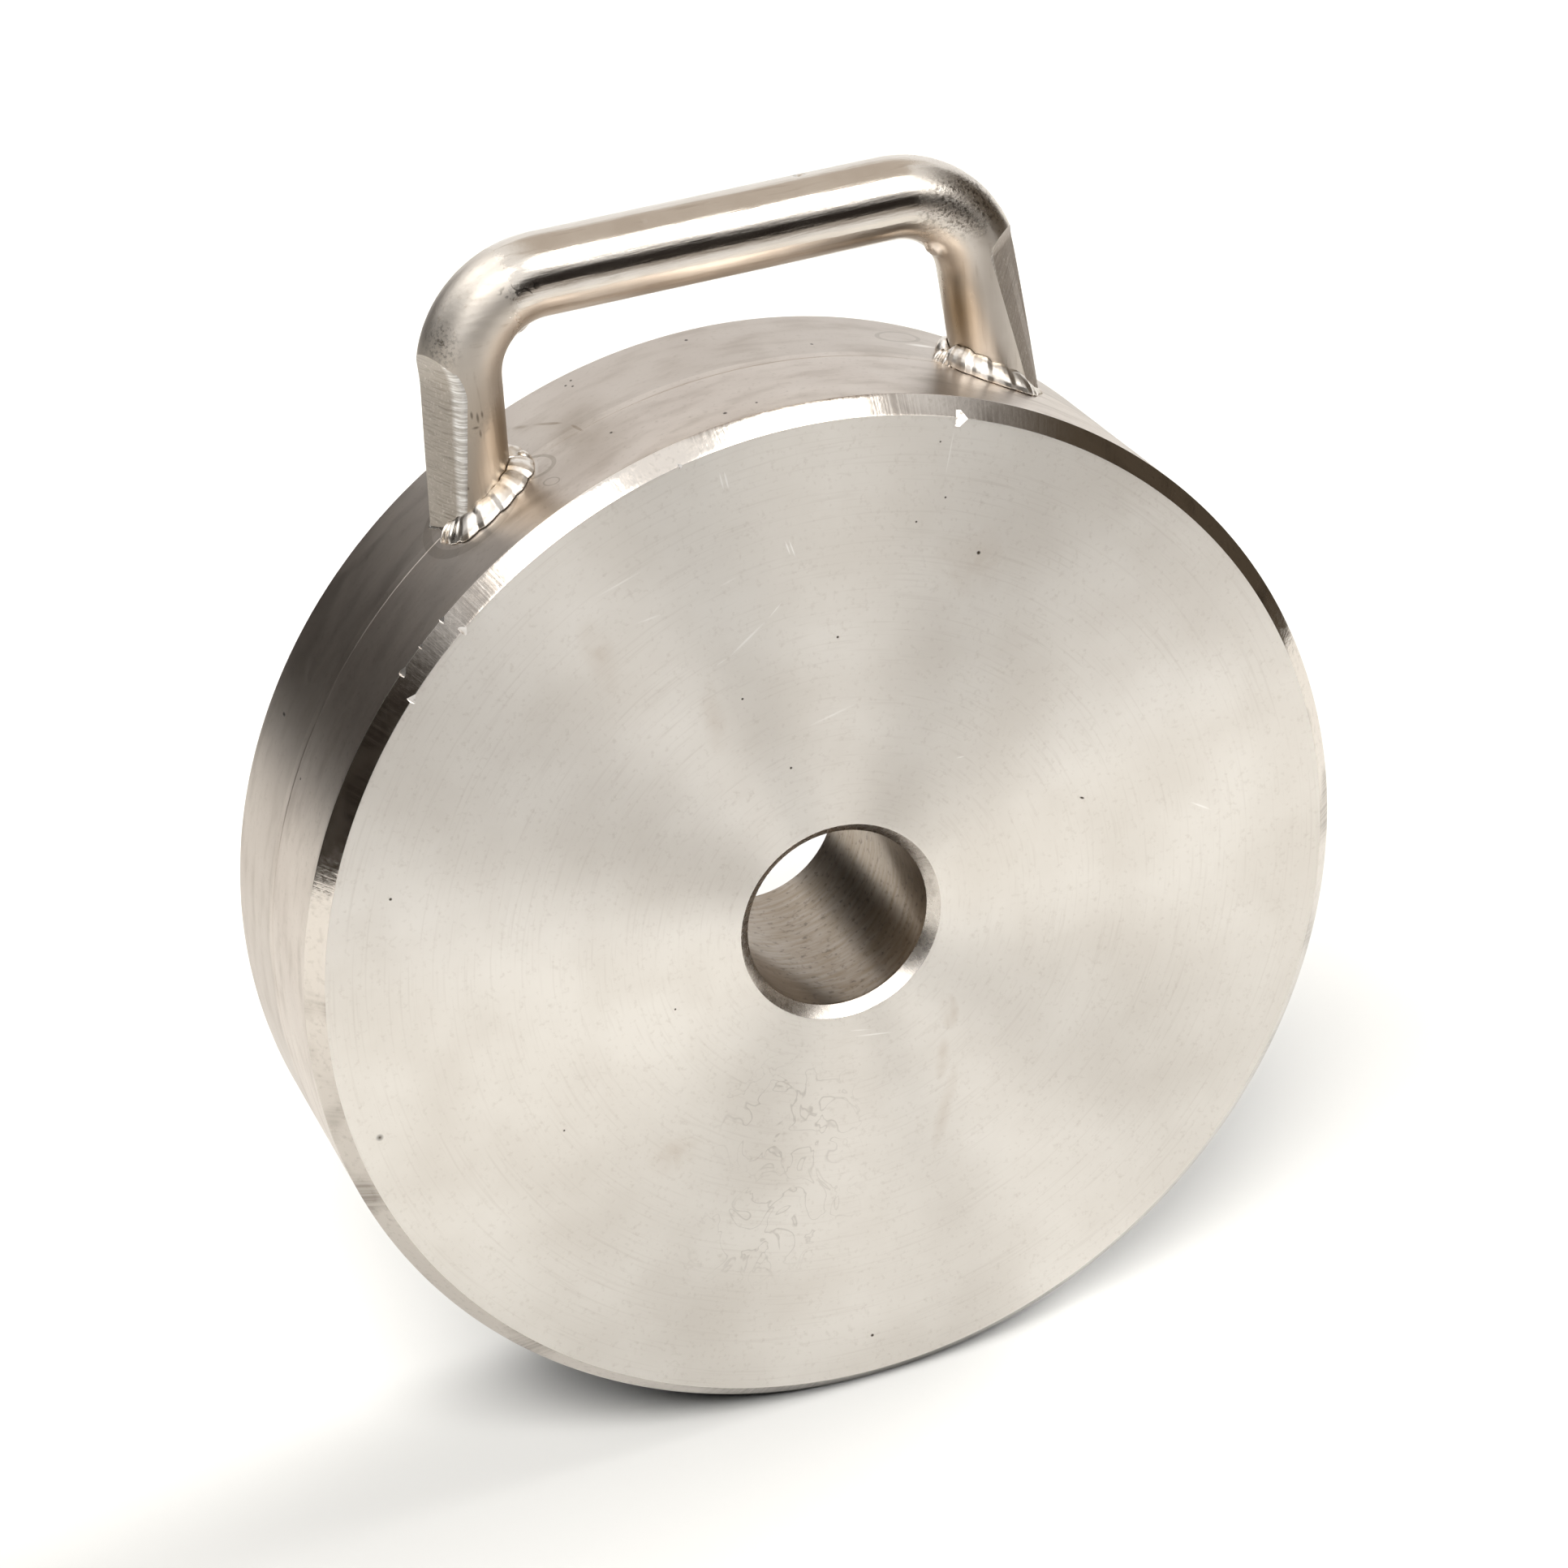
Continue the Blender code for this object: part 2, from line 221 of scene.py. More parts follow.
for name, (start, end, top, colour, side_fade, top_fade) in CARDS.items():
    make_card(name, [(*start, 0), (*end, 0), (*end, top), (*start, top)], colour, side_fade, top_fade)
for name, ((left, front), (right, back), height, colour, side_fade, top_fade) in FLAT_CARDS.items():
    lying = [(left, front, height), (right, front, height), (right, back, height), (left, back, height)]
    make_card(name, lying, colour, side_fade, top_fade)

# Disc. One piece of mild steel, turned to size, bored through, its edges cut back at 45 degrees, then
# nickel plated. The faces and the rim keep fine rings from the cutting tool; the bevels were cut slowly and
# are almost mirrors.

disc_low, disc_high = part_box("weight_disc")
RIM_RADIUS = (disc_high.x - disc_low.x) / 2
HALF_THICKNESS = (disc_high.y - disc_low.y) / 2
AXIS_HEIGHT = (disc_high.z + disc_low.z) / 2
RIM_CHAMFER = 0.003
BORE_RADIUS = 0.0175
BORE_CHAMFER = 0.002
EDGE_ROUND = 0.00015
EDGE_ROUND_STEPS = 3
CUT_LINE_BEHIND_MIDDLE = 0.0012
CUT_LINE_WIDTH = 0.0004
CUT_LINE_DEPTH = 0.00006
SUPPORT_SETBACK = 0.0008
LONG_SIDE = 0.004
ROUND_STEPS = 1080

disc_corners = [
    (BORE_RADIUS, -HALF_THICKNESS + BORE_CHAMFER),
    (BORE_RADIUS + BORE_CHAMFER, -HALF_THICKNESS),
    (RIM_RADIUS - RIM_CHAMFER, -HALF_THICKNESS),
    (RIM_RADIUS, -HALF_THICKNESS + RIM_CHAMFER),
    (RIM_RADIUS, CUT_LINE_BEHIND_MIDDLE - CUT_LINE_WIDTH / 2),
    (RIM_RADIUS - CUT_LINE_DEPTH, CUT_LINE_BEHIND_MIDDLE),
    (RIM_RADIUS, CUT_LINE_BEHIND_MIDDLE + CUT_LINE_WIDTH / 2),
    (RIM_RADIUS, HALF_THICKNESS - RIM_CHAMFER),
    (RIM_RADIUS - RIM_CHAMFER, HALF_THICKNESS),
    (BORE_RADIUS + BORE_CHAMFER, HALF_THICKNESS),
    (BORE_RADIUS, HALF_THICKNESS - BORE_CHAMFER),
]


def closed_outline(name, corners):
    """A mesh of edges round the corners, with a point set back from each end of every long side."""
    points = []
    for (r0, y0), (r1, y1) in zip(corners, corners[1:] + corners[:1]):
        points.append((r0, y0))
        length = math.hypot(r1 - r0, y1 - y0)
        if length > LONG_SIDE:
            for share in (SUPPORT_SETBACK / length, 1 - SUPPORT_SETBACK / length):
                points.append((r0 + (r1 - r0) * share, y0 + (y1 - y0) * share))
    mesh = bpy.data.meshes.new(name)
    edges = [(i, (i + 1) % len(points)) for i in range(len(points))]
    mesh.from_pydata([(r, y, 0) for r, y in points], edges, [])
    return mesh


def new_geometry_tree(name, sizes):
    """A Geometry Nodes tree with a geometry input and output, and an input for each named size."""
    tree = bpy.data.node_groups.new(name, "GeometryNodeTree")
    tree.interface.new_socket(name="Geometry", in_out="INPUT", socket_type="NodeSocketGeometry")
    tree.interface.new_socket(name="Geometry", in_out="OUTPUT", socket_type="NodeSocketGeometry")
    for size, kind in sizes.items():
        tree.interface.new_socket(name=size, in_out="INPUT", socket_type="NodeSocket" + kind)
    return tree, tree.nodes.new("NodeGroupInput").outputs, tree.nodes.new("NodeGroupOutput").inputs


def use_tree(piece, tree, values):
    """Puts the tree on a piece, with a value for each of its named inputs."""
    modifier = piece.modifiers.new(tree.name, "NODES")
    modifier.node_group = tree
    for socket in tree.interface.items_tree:
        if socket.name in values:
            modifier[socket.identifier] = values[socket.name]


def made_plain(piece):
    """Turns a piece and its modifiers into one plain mesh."""
    bpy.context.view_layer.update()
    depsgraph = bpy.context.evaluated_depsgraph_get()
    mesh = bpy.data.meshes.new_from_object(
        piece.evaluated_get(depsgraph), preserve_all_data_layers=True, depsgraph=depsgraph
    )
    piece.modifiers.clear()
    piece.data = mesh
    return mesh


def shaded(mesh, sharp_degrees):
    """Points all faces outwards and shades them smooth up to the angle."""
    bm = bmesh.new()
    bm.from_mesh(mesh)
    bmesh.ops.remove_doubles(bm, verts=bm.verts[:], dist=1e-7)
    bmesh.ops.recalc_face_normals(bm, faces=bm.faces[:])
    bm.to_mesh(mesh)
    bm.free()
    mesh.shade_smooth()
    mesh.set_sharp_from_angle(angle=math.radians(sharp_degrees))


def end_geometry(tree, geometry, given, result):
    """Ends a tree: its copies become real, and all of it gets the material."""
    real = add(tree, "GeometryNodeRealizeInstances", inputs={"Geometry": geometry})
    finished = add(tree, "GeometryNodeSetMaterial", inputs={"Geometry": real, "Material": given["Material"]})
    tree.links.new(finished.outputs[0], result["Geometry"])


turning, given, result = new_geometry_tree(
    "turn from half section",
    {"Bore Radius": "Float", "Edge Round": "Float", "Round Steps": "Int", "Material": "Material"},
)
section = add(turning, "GeometryNodeMeshToCurve", inputs={"Mesh": given["Geometry"]})
from_bore = add(
    turning,
    "ShaderNodeCombineXYZ",
    inputs={"X": add(turning, "ShaderNodeMath", {"operation": "MULTIPLY"}, [given["Bore Radius"], -1.0])},
)
section = add(turning, "GeometryNodeSetPosition", inputs={"Geometry": section, "Offset": from_bore})
rounded = add(
    turning,
    "GeometryNodeFilletCurve",
    {"mode": "POLY"},
    {"Curve": section, "Count": EDGE_ROUND_STEPS, "Radius": given["Edge Round"], "Limit Radius": True},
)
around = add(
    turning,
    "GeometryNodeCurvePrimitiveCircle",
    inputs={"Resolution": given["Round Steps"], "Radius": given["Bore Radius"]},
)
turned = add(turning, "GeometryNodeCurveToMesh", inputs={"Curve": around, "Profile Curve": rounded})
end_geometry(turning, turned, given, result)

disc = new_piece("disc", closed_outline("disc", disc_corners))
use_tree(disc, turning, {"Bore Radius": BORE_RADIUS, "Edge Round": EDGE_ROUND, "Round Steps": ROUND_STEPS})
made_plain(disc)
disc.data.transform(Matrix.Translation((0, 0, AXIS_HEIGHT)) @ Matrix.Rotation(math.radians(-90), 4, "X"))

# Marks of use. On the face: place across and up from the axis, turn, half length, half width, all in
# millimetres and degrees, and strength. On the rim: angle from the top, place along the bore, then the
# same. A mark fades from its middle to its edge, and the gain keeps the inner half of a strong one whole. A
# ring is drawn just inside its edge.
MARK_DEPTH = 2.0
MARK_GAIN = 2
RING_PLACE = 0.9
RING_HALF_WIDTH = 0.1
FACE_SCRATCHES = [
    (-12.4, 90.5, -83, 1.8, 0.18, 0.9),
    (-11.5, 90.4, -83, 1.9, 0.20, 1.0),
    (-1.9, 75.2, -77, 1.6, 0.18, 0.9),
    (-1.1, 74.9, -77, 1.9, 0.18, 0.9),
    (-11.2, 60.1, 34, 4.6, 0.30, 0.7),
    (-5.5, 64.2, 41, 2.1, 0.16, 0.6),
    (-16.5, 57.0, 21, 1.5, 0.15, 0.4),
    (-32.8, 76.4, 17, 5.5, 0.25, 0.35),
    (-28.6, 68.5, 7, 2.7, 0.25, 0.4),
    (-13.4, 71.7, 15, 1.9, 0.25, 0.35),
    (2.6, 41.4, 12, 5.0, 0.30, 0.4),
    (29.9, 85.6, 73, 5.0, 0.14, 0.6),
    (26.2, 26.6, -1, 1.0, 0.20, 0.6),
    (3.7, -24.7, -10, 4.4, 0.20, 0.7),
    (1.0, -23.0, -13, 2.6, 0.15, 0.5),
    (72.6, 3.6, -34, 2.7, 0.25, 0.8),
]
FACE_SPECKS = [
    (33.4, 65.3, 0, 0.45, 0.45, 1.0),
    (28.2, 77.3, 0, 0.25, 0.25, 1.0),
    (28.3, 87.9, 0, 0.22, 0.22, 1.0),
    (22.3, 74.1, 0, 0.25, 0.25, 1.0),
    (5.4, 56.1, 0, 0.30, 0.30, 1.0),
    (-6.1, 33.3, 0, 0.30, 0.30, 1.0),
    (-13.5, 49.0, 0, 0.28, 0.28, 1.0),
    (-81.7, 28.5, 0, 0.35, 0.35, 1.0),
    (-90.8, -17.3, 0, 0.80, 0.80, 0.5),
    (-57.2, -26.4, 0, 0.25, 0.25, 1.0),
    (-33.4, -8.2, 0, 0.25, 0.25, 1.0),
    (49.0, 11.9, -30, 0.60, 0.25, 1.0),
    (-3.5, -89.1, 0, 0.40, 0.40, 1.0),
]
FACE_STAINS = [
    (-38.4, 64.4, -76, 9.0, 3.5, 0.3),
    (-19.3, 46.8, -87, 8.0, 2.6, 0.3),
    (18.8, -24.4, -88, 4.2, 2.2, 0.8),
    (16.5, -34.0, -102, 5.2, 1.6, 0.4),
    (16.0, -44.4, -110, 9.6, 1.8, 0.4),
    (31.6, 64.3, -14, 9.0, 8.0, 0.3),
    (-37.4, -37.3, 21, 6.4, 5.0, 0.3),
]
FACE_DRIED_EDGES = [(-14.0, -38.0, -35, 18.0, 15.0, 1.0), (-20.0, -58.0, 10, 20.0, 13.0, 0.9)]
RIM_STAINS = [
    (-21.3, 12.9, -52, 2.4, 0.80, 0.6),
    (-18.9, 7.8, -55, 4.5, 0.60, 0.9),
    (-17.1, 0.4, -81, 3.7, 0.50, 0.9),
    (-27.0, -2.0, 20, 4.0, 1.50, 0.5),
    (-29.0, -14.0, -8, 14.0, 2.20, 0.4),
    (32.0, -13.0, 0, 9.0, 1.20, 0.3),
    (-18.0, -3.0, 0, 13.0, 20.0, 0.34),
]
RIM_SMEARS = [
    (23.4, 9.7, 14, 4.2, 1.00, 0.8),
    (-23.5, -6.0, 70, 5.5, 0.90, 0.5),
]
RIM_RINGS = [
    (-23.2, -3.6, -60, 5.2, 3.6, 0.6),
    (-22.8, -12.3, -60, 2.0, 1.2, 0.5),
    (21.5, 13.5, 30, 6.0, 3.0, 0.4),
    (-31.0, -2.0, 10, 10.5, 12.0, 0.35),
]
RIM_SPECKS = [
    (-14.0, 19.5, 0, 0.30, 0.40, 1.0),
    (-14.8, 18.5, 0, 0.30, 0.40, 1.0),
    (-14.3, 16.9, 0, 0.30, 0.40, 1.0),
    (-1.2, 18.3, 0, 0.40, 0.52, 1.0),
    (10.1, 6.2, 0, 0.35, 0.45, 1.0),
    (-4.6, -18.8, 0, 0.45, 0.52, 1.0),
    (-14.9, -7.9, 0, 0.35, 0.45, 1.0),
    (-1.1, -18.2, 0, 0.30, 0.39, 1.0),
    (-60.5, 14.4, 0, 0.40, 1.00, 0.8),
    (-63.5, -3.6, 0, 0.30, 0.39, 1.0),
]

# Nicks knocked into the front edges: angle from the top, whether on the face's edge or the rim's, length,
# depth and half width, in millimetres. Each is a notch with one gentle side, which falls away to the left.
NICKS = [
    (19.2, "face", 2.1, 1.05, 1.5),
    (-39.6, "face", 1.3, 0.50, 0.9),
    (-48.4, "face", 1.6, 0.35, 0.8),
    (-40.2, "rim", 1.1, 0.35, 0.8),
    (-46.8, "rim", 1.8, 0.45, 0.8),
    (-43.5, "rim", 0.9, 0.25, 0.6),
    (-11.7, "face", 0.8, 0.25, 0.6),
]


def on_face(x, z, turn, half_length, half_width, strength):
    """Place, turn, half sizes and strength of a mark on the front face."""
    place = Vector((x / 1000, -HALF_THICKNESS, z / 1000))
    half_sizes = Vector((half_length, MARK_DEPTH, half_width)) / 1000
    return place, Matrix.Rotation(-math.radians(turn), 3, "Y"), half_sizes, strength


def on_round(angle, y, turn, half_length, half_width, strength):
    """Place, turn, half sizes and strength of a mark on the rim."""
    round_turn = Matrix.Rotation(math.radians(angle), 3, "Y")
    half_sizes = Vector((half_length, half_width, MARK_DEPTH)) / 1000
    place = round_turn @ Vector((0, 0, RIM_RADIUS)) + Vector((0, y / 1000, 0))
    return place, round_turn @ Matrix.Rotation(math.radians(turn), 3, "Z"), half_sizes, strength


def marked(tree, centred, marks, as_rings=False):
    """How strongly a point lies inside the marks, or on the line round them: 0 to 1."""
    strongest = None
    for place, turn, half_sizes, strength in marks:
        local = add(
            tree,
            "ShaderNodeMapping",
            {"vector_type": "TEXTURE"},
            {"Vector": centred, "Location": place, "Rotation": turn.to_euler(), "Scale": half_sizes},
        )
        if as_rings:
            length = add(tree, "ShaderNodeVectorMath", {"operation": "LENGTH"}, [local]).outputs["Value"]
            inside = add(
                tree, "ShaderNodeMath", {"operation": "COMPARE"}, [length, RING_PLACE, RING_HALF_WIDTH]
            )
        else:
            inside = add(tree, "ShaderNodeTexGradient", {"gradient_type": "SPHERICAL"}, {"Vector": local})
            inside = inside.outputs["Factor" if "Factor" in inside.outputs else "Fac"]
        scaled = add(tree, "ShaderNodeMath", {"operation": "MULTIPLY"}, [inside, strength * MARK_GAIN])
        if strongest is None:
            strongest = scaled
        else:
            strongest = add(tree, "ShaderNodeMath", {"operation": "MAXIMUM"}, [strongest, scaled])
    return add(tree, "ShaderNodeMath", {"operation": "MINIMUM"}, [strongest, 1.0])


def new_metal(name):
    """A material of bare metal, with its tree and its shader."""
    material, tree, output = new_material(name)
    shader = add(tree, "ShaderNodeBsdfPrincipled", inputs={"Metallic": 1.0})
    tree.links.new(shader.outputs[0], output.inputs["Surface"])
    return material, tree, shader


def embossed(tree, patterns):
    """The normal of a surface with fine relief: patterns over one another, each with its height in metres."""
    inputs = {}
    for pattern, height in patterns:
        relief = add(tree, "ShaderNodeBump", {}, {"Height": pattern, "Distance": height, **inputs})
        inputs = {"Normal": relief}
    return relief


def centred_on_bore(tree):
    place = add(tree, "ShaderNodeTexCoord").outputs["Object"]
    return add(tree, "ShaderNodeVectorMath", {"operation": "SUBTRACT"}, [place, (0, 0, AXIS_HEIGHT)])


def outward_and_radius(tree, centred):
    across = add(tree, "ShaderNodeVectorMath", {"operation": "MULTIPLY"}, [centred, (1, 0, 1)])
    outward = add(tree, "ShaderNodeVectorMath", {"operation": "NORMALIZE"}, [across])
    radius = add(tree, "ShaderNodeVectorMath", {"operation": "LENGTH"}, [across]).outputs["Value"]
    return outward, radius


def ring_noise(tree, outward, depth, arcs, rings_per_metre):
    """Noise drawn out into rings round the bore: so many arcs to a turn and rings to a metre of depth."""
    round_part = add(tree, "ShaderNodeVectorMath", {"operation": "SCALE"}, {0: outward, "Scale": arcs})
    deep = add(tree, "ShaderNodeMath", {"operation": "MULTIPLY"}, [depth, rings_per_metre])
    deep_part = add(tree, "ShaderNodeCombineXYZ", inputs={"Y": deep})
    where = add(tree, "ShaderNodeVectorMath", {"operation": "ADD"}, [round_part, deep_part])
    return add(tree, "ShaderNodeTexNoise", inputs={"Vector": where, "Scale": 1.0, "Detail": 3.0})


def contours(tree, pattern, whole, gone, strength):
    """Lines where a pattern passes its middle value: whole up to one distance from it, gone at another."""
    distance = add(tree, "ShaderNodeMath", {"operation": "SUBTRACT"}, [pattern, 0.5])
    distance = add(tree, "ShaderNodeMath", {"operation": "ABSOLUTE"}, [distance])
    return add(tree, "ShaderNodeMapRange", {}, [distance, whole, gone, strength, 0.0])


# In the materials below, a noise's scale counts its cells to a metre: 1100 is a grain of 0.9 mm, and 45
# makes clouds of 22 mm. A Map Range has a value, the two ends of its range, and what each end becomes: 0
# and 1 if not given.

# Dull nickel over fine turning rings 0.1 mm apart, drawn 0.6 mm apart so that they show. The rings smear
# each reflection outwards from the bore, so the face is darker in a fan above it. Scratches and dried drops
# lie over them.
turned_face, tree, shader = new_metal("dull nickel on turned face")
centred = centred_on_bore(tree)
outward, radius = outward_and_radius(tree, centred)
rings = ring_noise(tree, outward, radius, 5.0, 1700.0)
cloud = add(tree, "ShaderNodeTexNoise", inputs={"Vector": centred, "Scale": 45.0, "Detail": 5.0})
grain = add(tree, "ShaderNodeTexNoise", inputs={"Vector": centred, "Scale": 1100.0, "Detail": 2.0})
wander = add(
    tree,
    "ShaderNodeTexNoise",
    inputs={"Vector": centred, "Scale": 150.0, "Detail": 2.0, "Distortion": 1.2},
)
dried, stained, specked, scratched = (
    marked(tree, centred, [on_face(*mark) for mark in marks])
    for marks in (FACE_DRIED_EDGES, FACE_STAINS, FACE_SPECKS, FACE_SCRATCHES)
)
edges = contours(tree, wander, 0.0, 0.022, 0.30)
dried = add(tree, "ShaderNodeMath", {"operation": "MULTIPLY"}, [edges, dried])
clouded = add(tree, "ShaderNodeMapRange", {}, [wander, 0.30, 0.62, 0.05, 0.40])
stained = add(tree, "ShaderNodeMath", {"operation": "MULTIPLY"}, [stained, clouded])
colour = layered(
    tree,
    "#F1ECE5",
    [
        ("#E8E2DA", cloud, 0.35, 0.65),
        ("#C8BEB4", rings, 0.55, 0.85, 0.0, 0.30),
        ("#BDB2A6", grain, 0.58, 0.80, 0.0, 0.25),
        ("#8F8578", dried),
        ("#B39B80", stained),
        ("#4A4036", specked),
        ("#FFFBF6", scratched),
    ],
)
relief = embossed(tree, [(grain, 0.000010), (rings, 0.000012)])
feed(
    tree,
    shader,
    {
        "Base Color": colour,
        "Roughness": add(tree, "ShaderNodeMapRange", {}, [cloud, 0.3, 0.7, 0.38, 0.40]),
        "Anisotropic": 0.93,
        "Tangent": outward,
        "Normal": relief,
    },
)

# Bright nickel over a slow, fine cut: nearly a mirror, with a little grain that frays the edges of
# reflections. The bevels of the bore were cut faster and are duller.
bright_bevel, tree, shader = new_metal("bright nickel on bevel")
centred = centred_on_bore(tree)
outward, radius = outward_and_radius(tree, centred)
round_bore = add(tree, "ShaderNodeVectorMath", {"operation": "SCALE"}, {0: outward, "Scale": 160.0})
hatching = add(tree, "ShaderNodeTexNoise", inputs={"Vector": round_bore, "Scale": 1.0, "Detail": 3.0})
grain = add(tree, "ShaderNodeTexNoise", inputs={"Vector": centred, "Scale": 900.0, "Detail": 3.0})
cloud = add(tree, "ShaderNodeTexNoise", inputs={"Vector": centred, "Scale": 55.0, "Detail": 2.0})
patchy = add(tree, "ShaderNodeMapRange", {}, [cloud, 0.50, 0.60])
hatched = add(tree, "ShaderNodeMapRange", {}, [hatching, 0.35, 0.60, 0.2, 0.7])
patchy = add(tree, "ShaderNodeMath", {"operation": "MULTIPLY"}, [patchy, hatched])
colour = layered(tree, "#E2DAD1", [("#B9B0A6", grain, 0.55, 0.80, 0.0, 0.6), ("#8F857B", patchy)])
relief = embossed(tree, [(hatching, 0.000010), (grain, 0.000016)])
roughness = add(tree, "ShaderNodeMapRange", {}, [grain, 0.3, 0.7, 0.08, 0.16])
at_bore = add(tree, "ShaderNodeMapRange", {}, [radius, 0.020, 0.040, 0.15, 0.0])
roughness = add(tree, "ShaderNodeMath", {"operation": "ADD"}, [roughness, at_bore])
feed(tree, shader, {"Base Color": colour, "Roughness": roughness, "Normal": relief})

# The rim's nickel lies over turning marks too, so reflections smear along the bore. Plating salts dried in
# rings and runs on it, and the heat of welding left brown bands by the feet. The band behind the cut line
# is a little greyer.
turned_rim, tree, shader = new_metal("dull nickel on turned rim")
centred = centred_on_bore(tree)
outward, _ = outward_and_radius(tree, centred)
depth = add(tree, "ShaderNodeSeparateXYZ", inputs=[centred]).outputs["Y"]
rings = ring_noise(tree, outward, depth, 7.0, 2200.0)
bands = ring_noise(tree, outward, depth, 9.0, 260.0)
cloud = add(tree, "ShaderNodeTexNoise", inputs={"Vector": centred, "Scale": 60.0, "Detail": 5.0})
grain = add(tree, "ShaderNodeTexNoise", inputs={"Vector": centred, "Scale": 1000.0, "Detail": 2.0})
line_edges = [CUT_LINE_BEHIND_MIDDLE + way * CUT_LINE_WIDTH / 4 for way in (-1, 1)]
behind = add(tree, "ShaderNodeMapRange", {}, [depth, *line_edges])
stained, smeared, specked = (
    marked(tree, centred, [on_round(*mark) for mark in marks])
    for marks in (RIM_STAINS, RIM_SMEARS, RIM_SPECKS)
)
clouded = add(tree, "ShaderNodeMapRange", {}, [cloud, 0.35, 0.60, 0.35, 0.9])
stained = add(tree, "ShaderNodeMath", {"operation": "MULTIPLY"}, [stained, clouded])
ringed = marked(tree, centred, [on_round(*mark) for mark in RIM_RINGS], as_rings=True)
colour = layered(
    tree,
    "#DAD0C6",
    [
        ("#CFC4BA", cloud, 0.35, 0.65),
        ("#B9AFA5", add(tree, "ShaderNodeMath", {"operation": "MULTIPLY"}, [behind, 0.45])),
        ("#A99D91", bands, 0.50, 0.75, 0.0, 0.45),
        ("#B0A598", grain, 0.58, 0.80, 0.0, 0.45),
        ("#7D6A52", stained),
        ("#EFE9E2", smeared),
        ("#8E8374", add(tree, "ShaderNodeMath", {"operation": "MULTIPLY"}, [ringed, 0.45])),
        ("#4A4036", specked),
    ],
)
relief = embossed(tree, [(grain, 0.000010), (rings, 0.000010)])
along_bore = add(tree, "ShaderNodeCombineXYZ", inputs={"Y": 1.0})
feed(
    tree,
    shader,
    {
        "Base Color": colour,
        "Roughness": add(tree, "ShaderNodeMapRange", {}, [bands, 0.3, 0.7, 0.29, 0.35]),
        "Anisotropic": 0.5,
        "Tangent": along_bore,
        "Normal": relief,
    },
)

# Plating hardly reaches inside a bore, so its wall is darker and browner, with streaks from the boring tool.
bored_wall, tree, shader = new_metal("thin nickel on bored wall")
centred = centred_on_bore(tree)
outward, _ = outward_and_radius(tree, centred)
depth = add(tree, "ShaderNodeSeparateXYZ", inputs=[centred]).outputs["Y"]
streaks = ring_noise(tree, outward, depth, 3.0, 900.0)
grain = add(tree, "ShaderNodeTexNoise", inputs={"Vector": centred, "Scale": 900.0, "Detail": 4.0})
colour = layered(
    tree, "#B0A497", [("#9C8D7A", streaks, 0.35, 0.70), ("#5A5046", grain, 0.56, 0.72, 0.0, 0.6)]
)
feed(
    tree,
    shader,
    {
        "Base Color": colour,
        "Roughness": 0.31,
        "Anisotropic": 0.5,
        "Tangent": add(tree, "ShaderNodeCombineXYZ", inputs={"Y": 1.0}),
        "Normal": embossed(tree, [(grain, 0.000012), (streaks, 0.000003)]),
    },
)

# Steel torn open in a knock, never plated: light and rough.
torn_steel, tree, shader = new_metal("torn steel in nick")
grain = add(tree, "ShaderNodeTexNoise", inputs={"Vector": centred_on_bore(tree), "Scale": 1500.0})
colour = layered(tree, "#F4EFEA", [("#A79C90", grain, 0.55, 0.75)])
relief = embossed(tree, [(grain, 0.000030)])
feed(tree, shader, {"Base Color": colour, "Roughness": 0.34, "Normal": relief})

# Each face has the finish of its own cut, told by the way that it faces
disc.data.materials.clear()
for finish in (turned_face, bright_bevel, turned_rim, bored_wall):
    disc.data.materials.append(finish)
FACE, BEVEL, RIM, BORE = range(4)
BEVEL_FROM = math.radians(20)
for polygon in disc.data.polygons:
    outward = Vector((polygon.center.x, 0, polygon.center.z - AXIS_HEIGHT))
    if abs(polygon.normal.y) > math.cos(BEVEL_FROM):
        polygon.material_index = FACE
    elif abs(polygon.normal.y) > math.sin(BEVEL_FROM) and abs(polygon.center.y) > HALF_THICKNESS / 2:
        polygon.material_index = BEVEL
    elif outward.dot(polygon.normal) > 0:
        polygon.material_index = RIM
    else:
        polygon.material_index = BORE


def mesh_from(bm, name):
    """A mesh with what the bmesh holds. The bmesh is freed."""
    mesh = bpy.data.meshes.new(name)
    bm.to_mesh(mesh)
    bm.free()
    return mesh


def cut_away(piece, tools):
    """Cuts the tools out of the piece, and takes them away."""
    for tool in tools:
        boolean = piece.modifiers.new(tool.name, "BOOLEAN")
        boolean.operation = "DIFFERENCE"
        boolean.solver = "EXACT"
        boolean.material_mode = "TRANSFER"
        boolean.object = tool
    made_plain(piece)
    for tool in tools:
        bpy.data.objects.remove(tool)


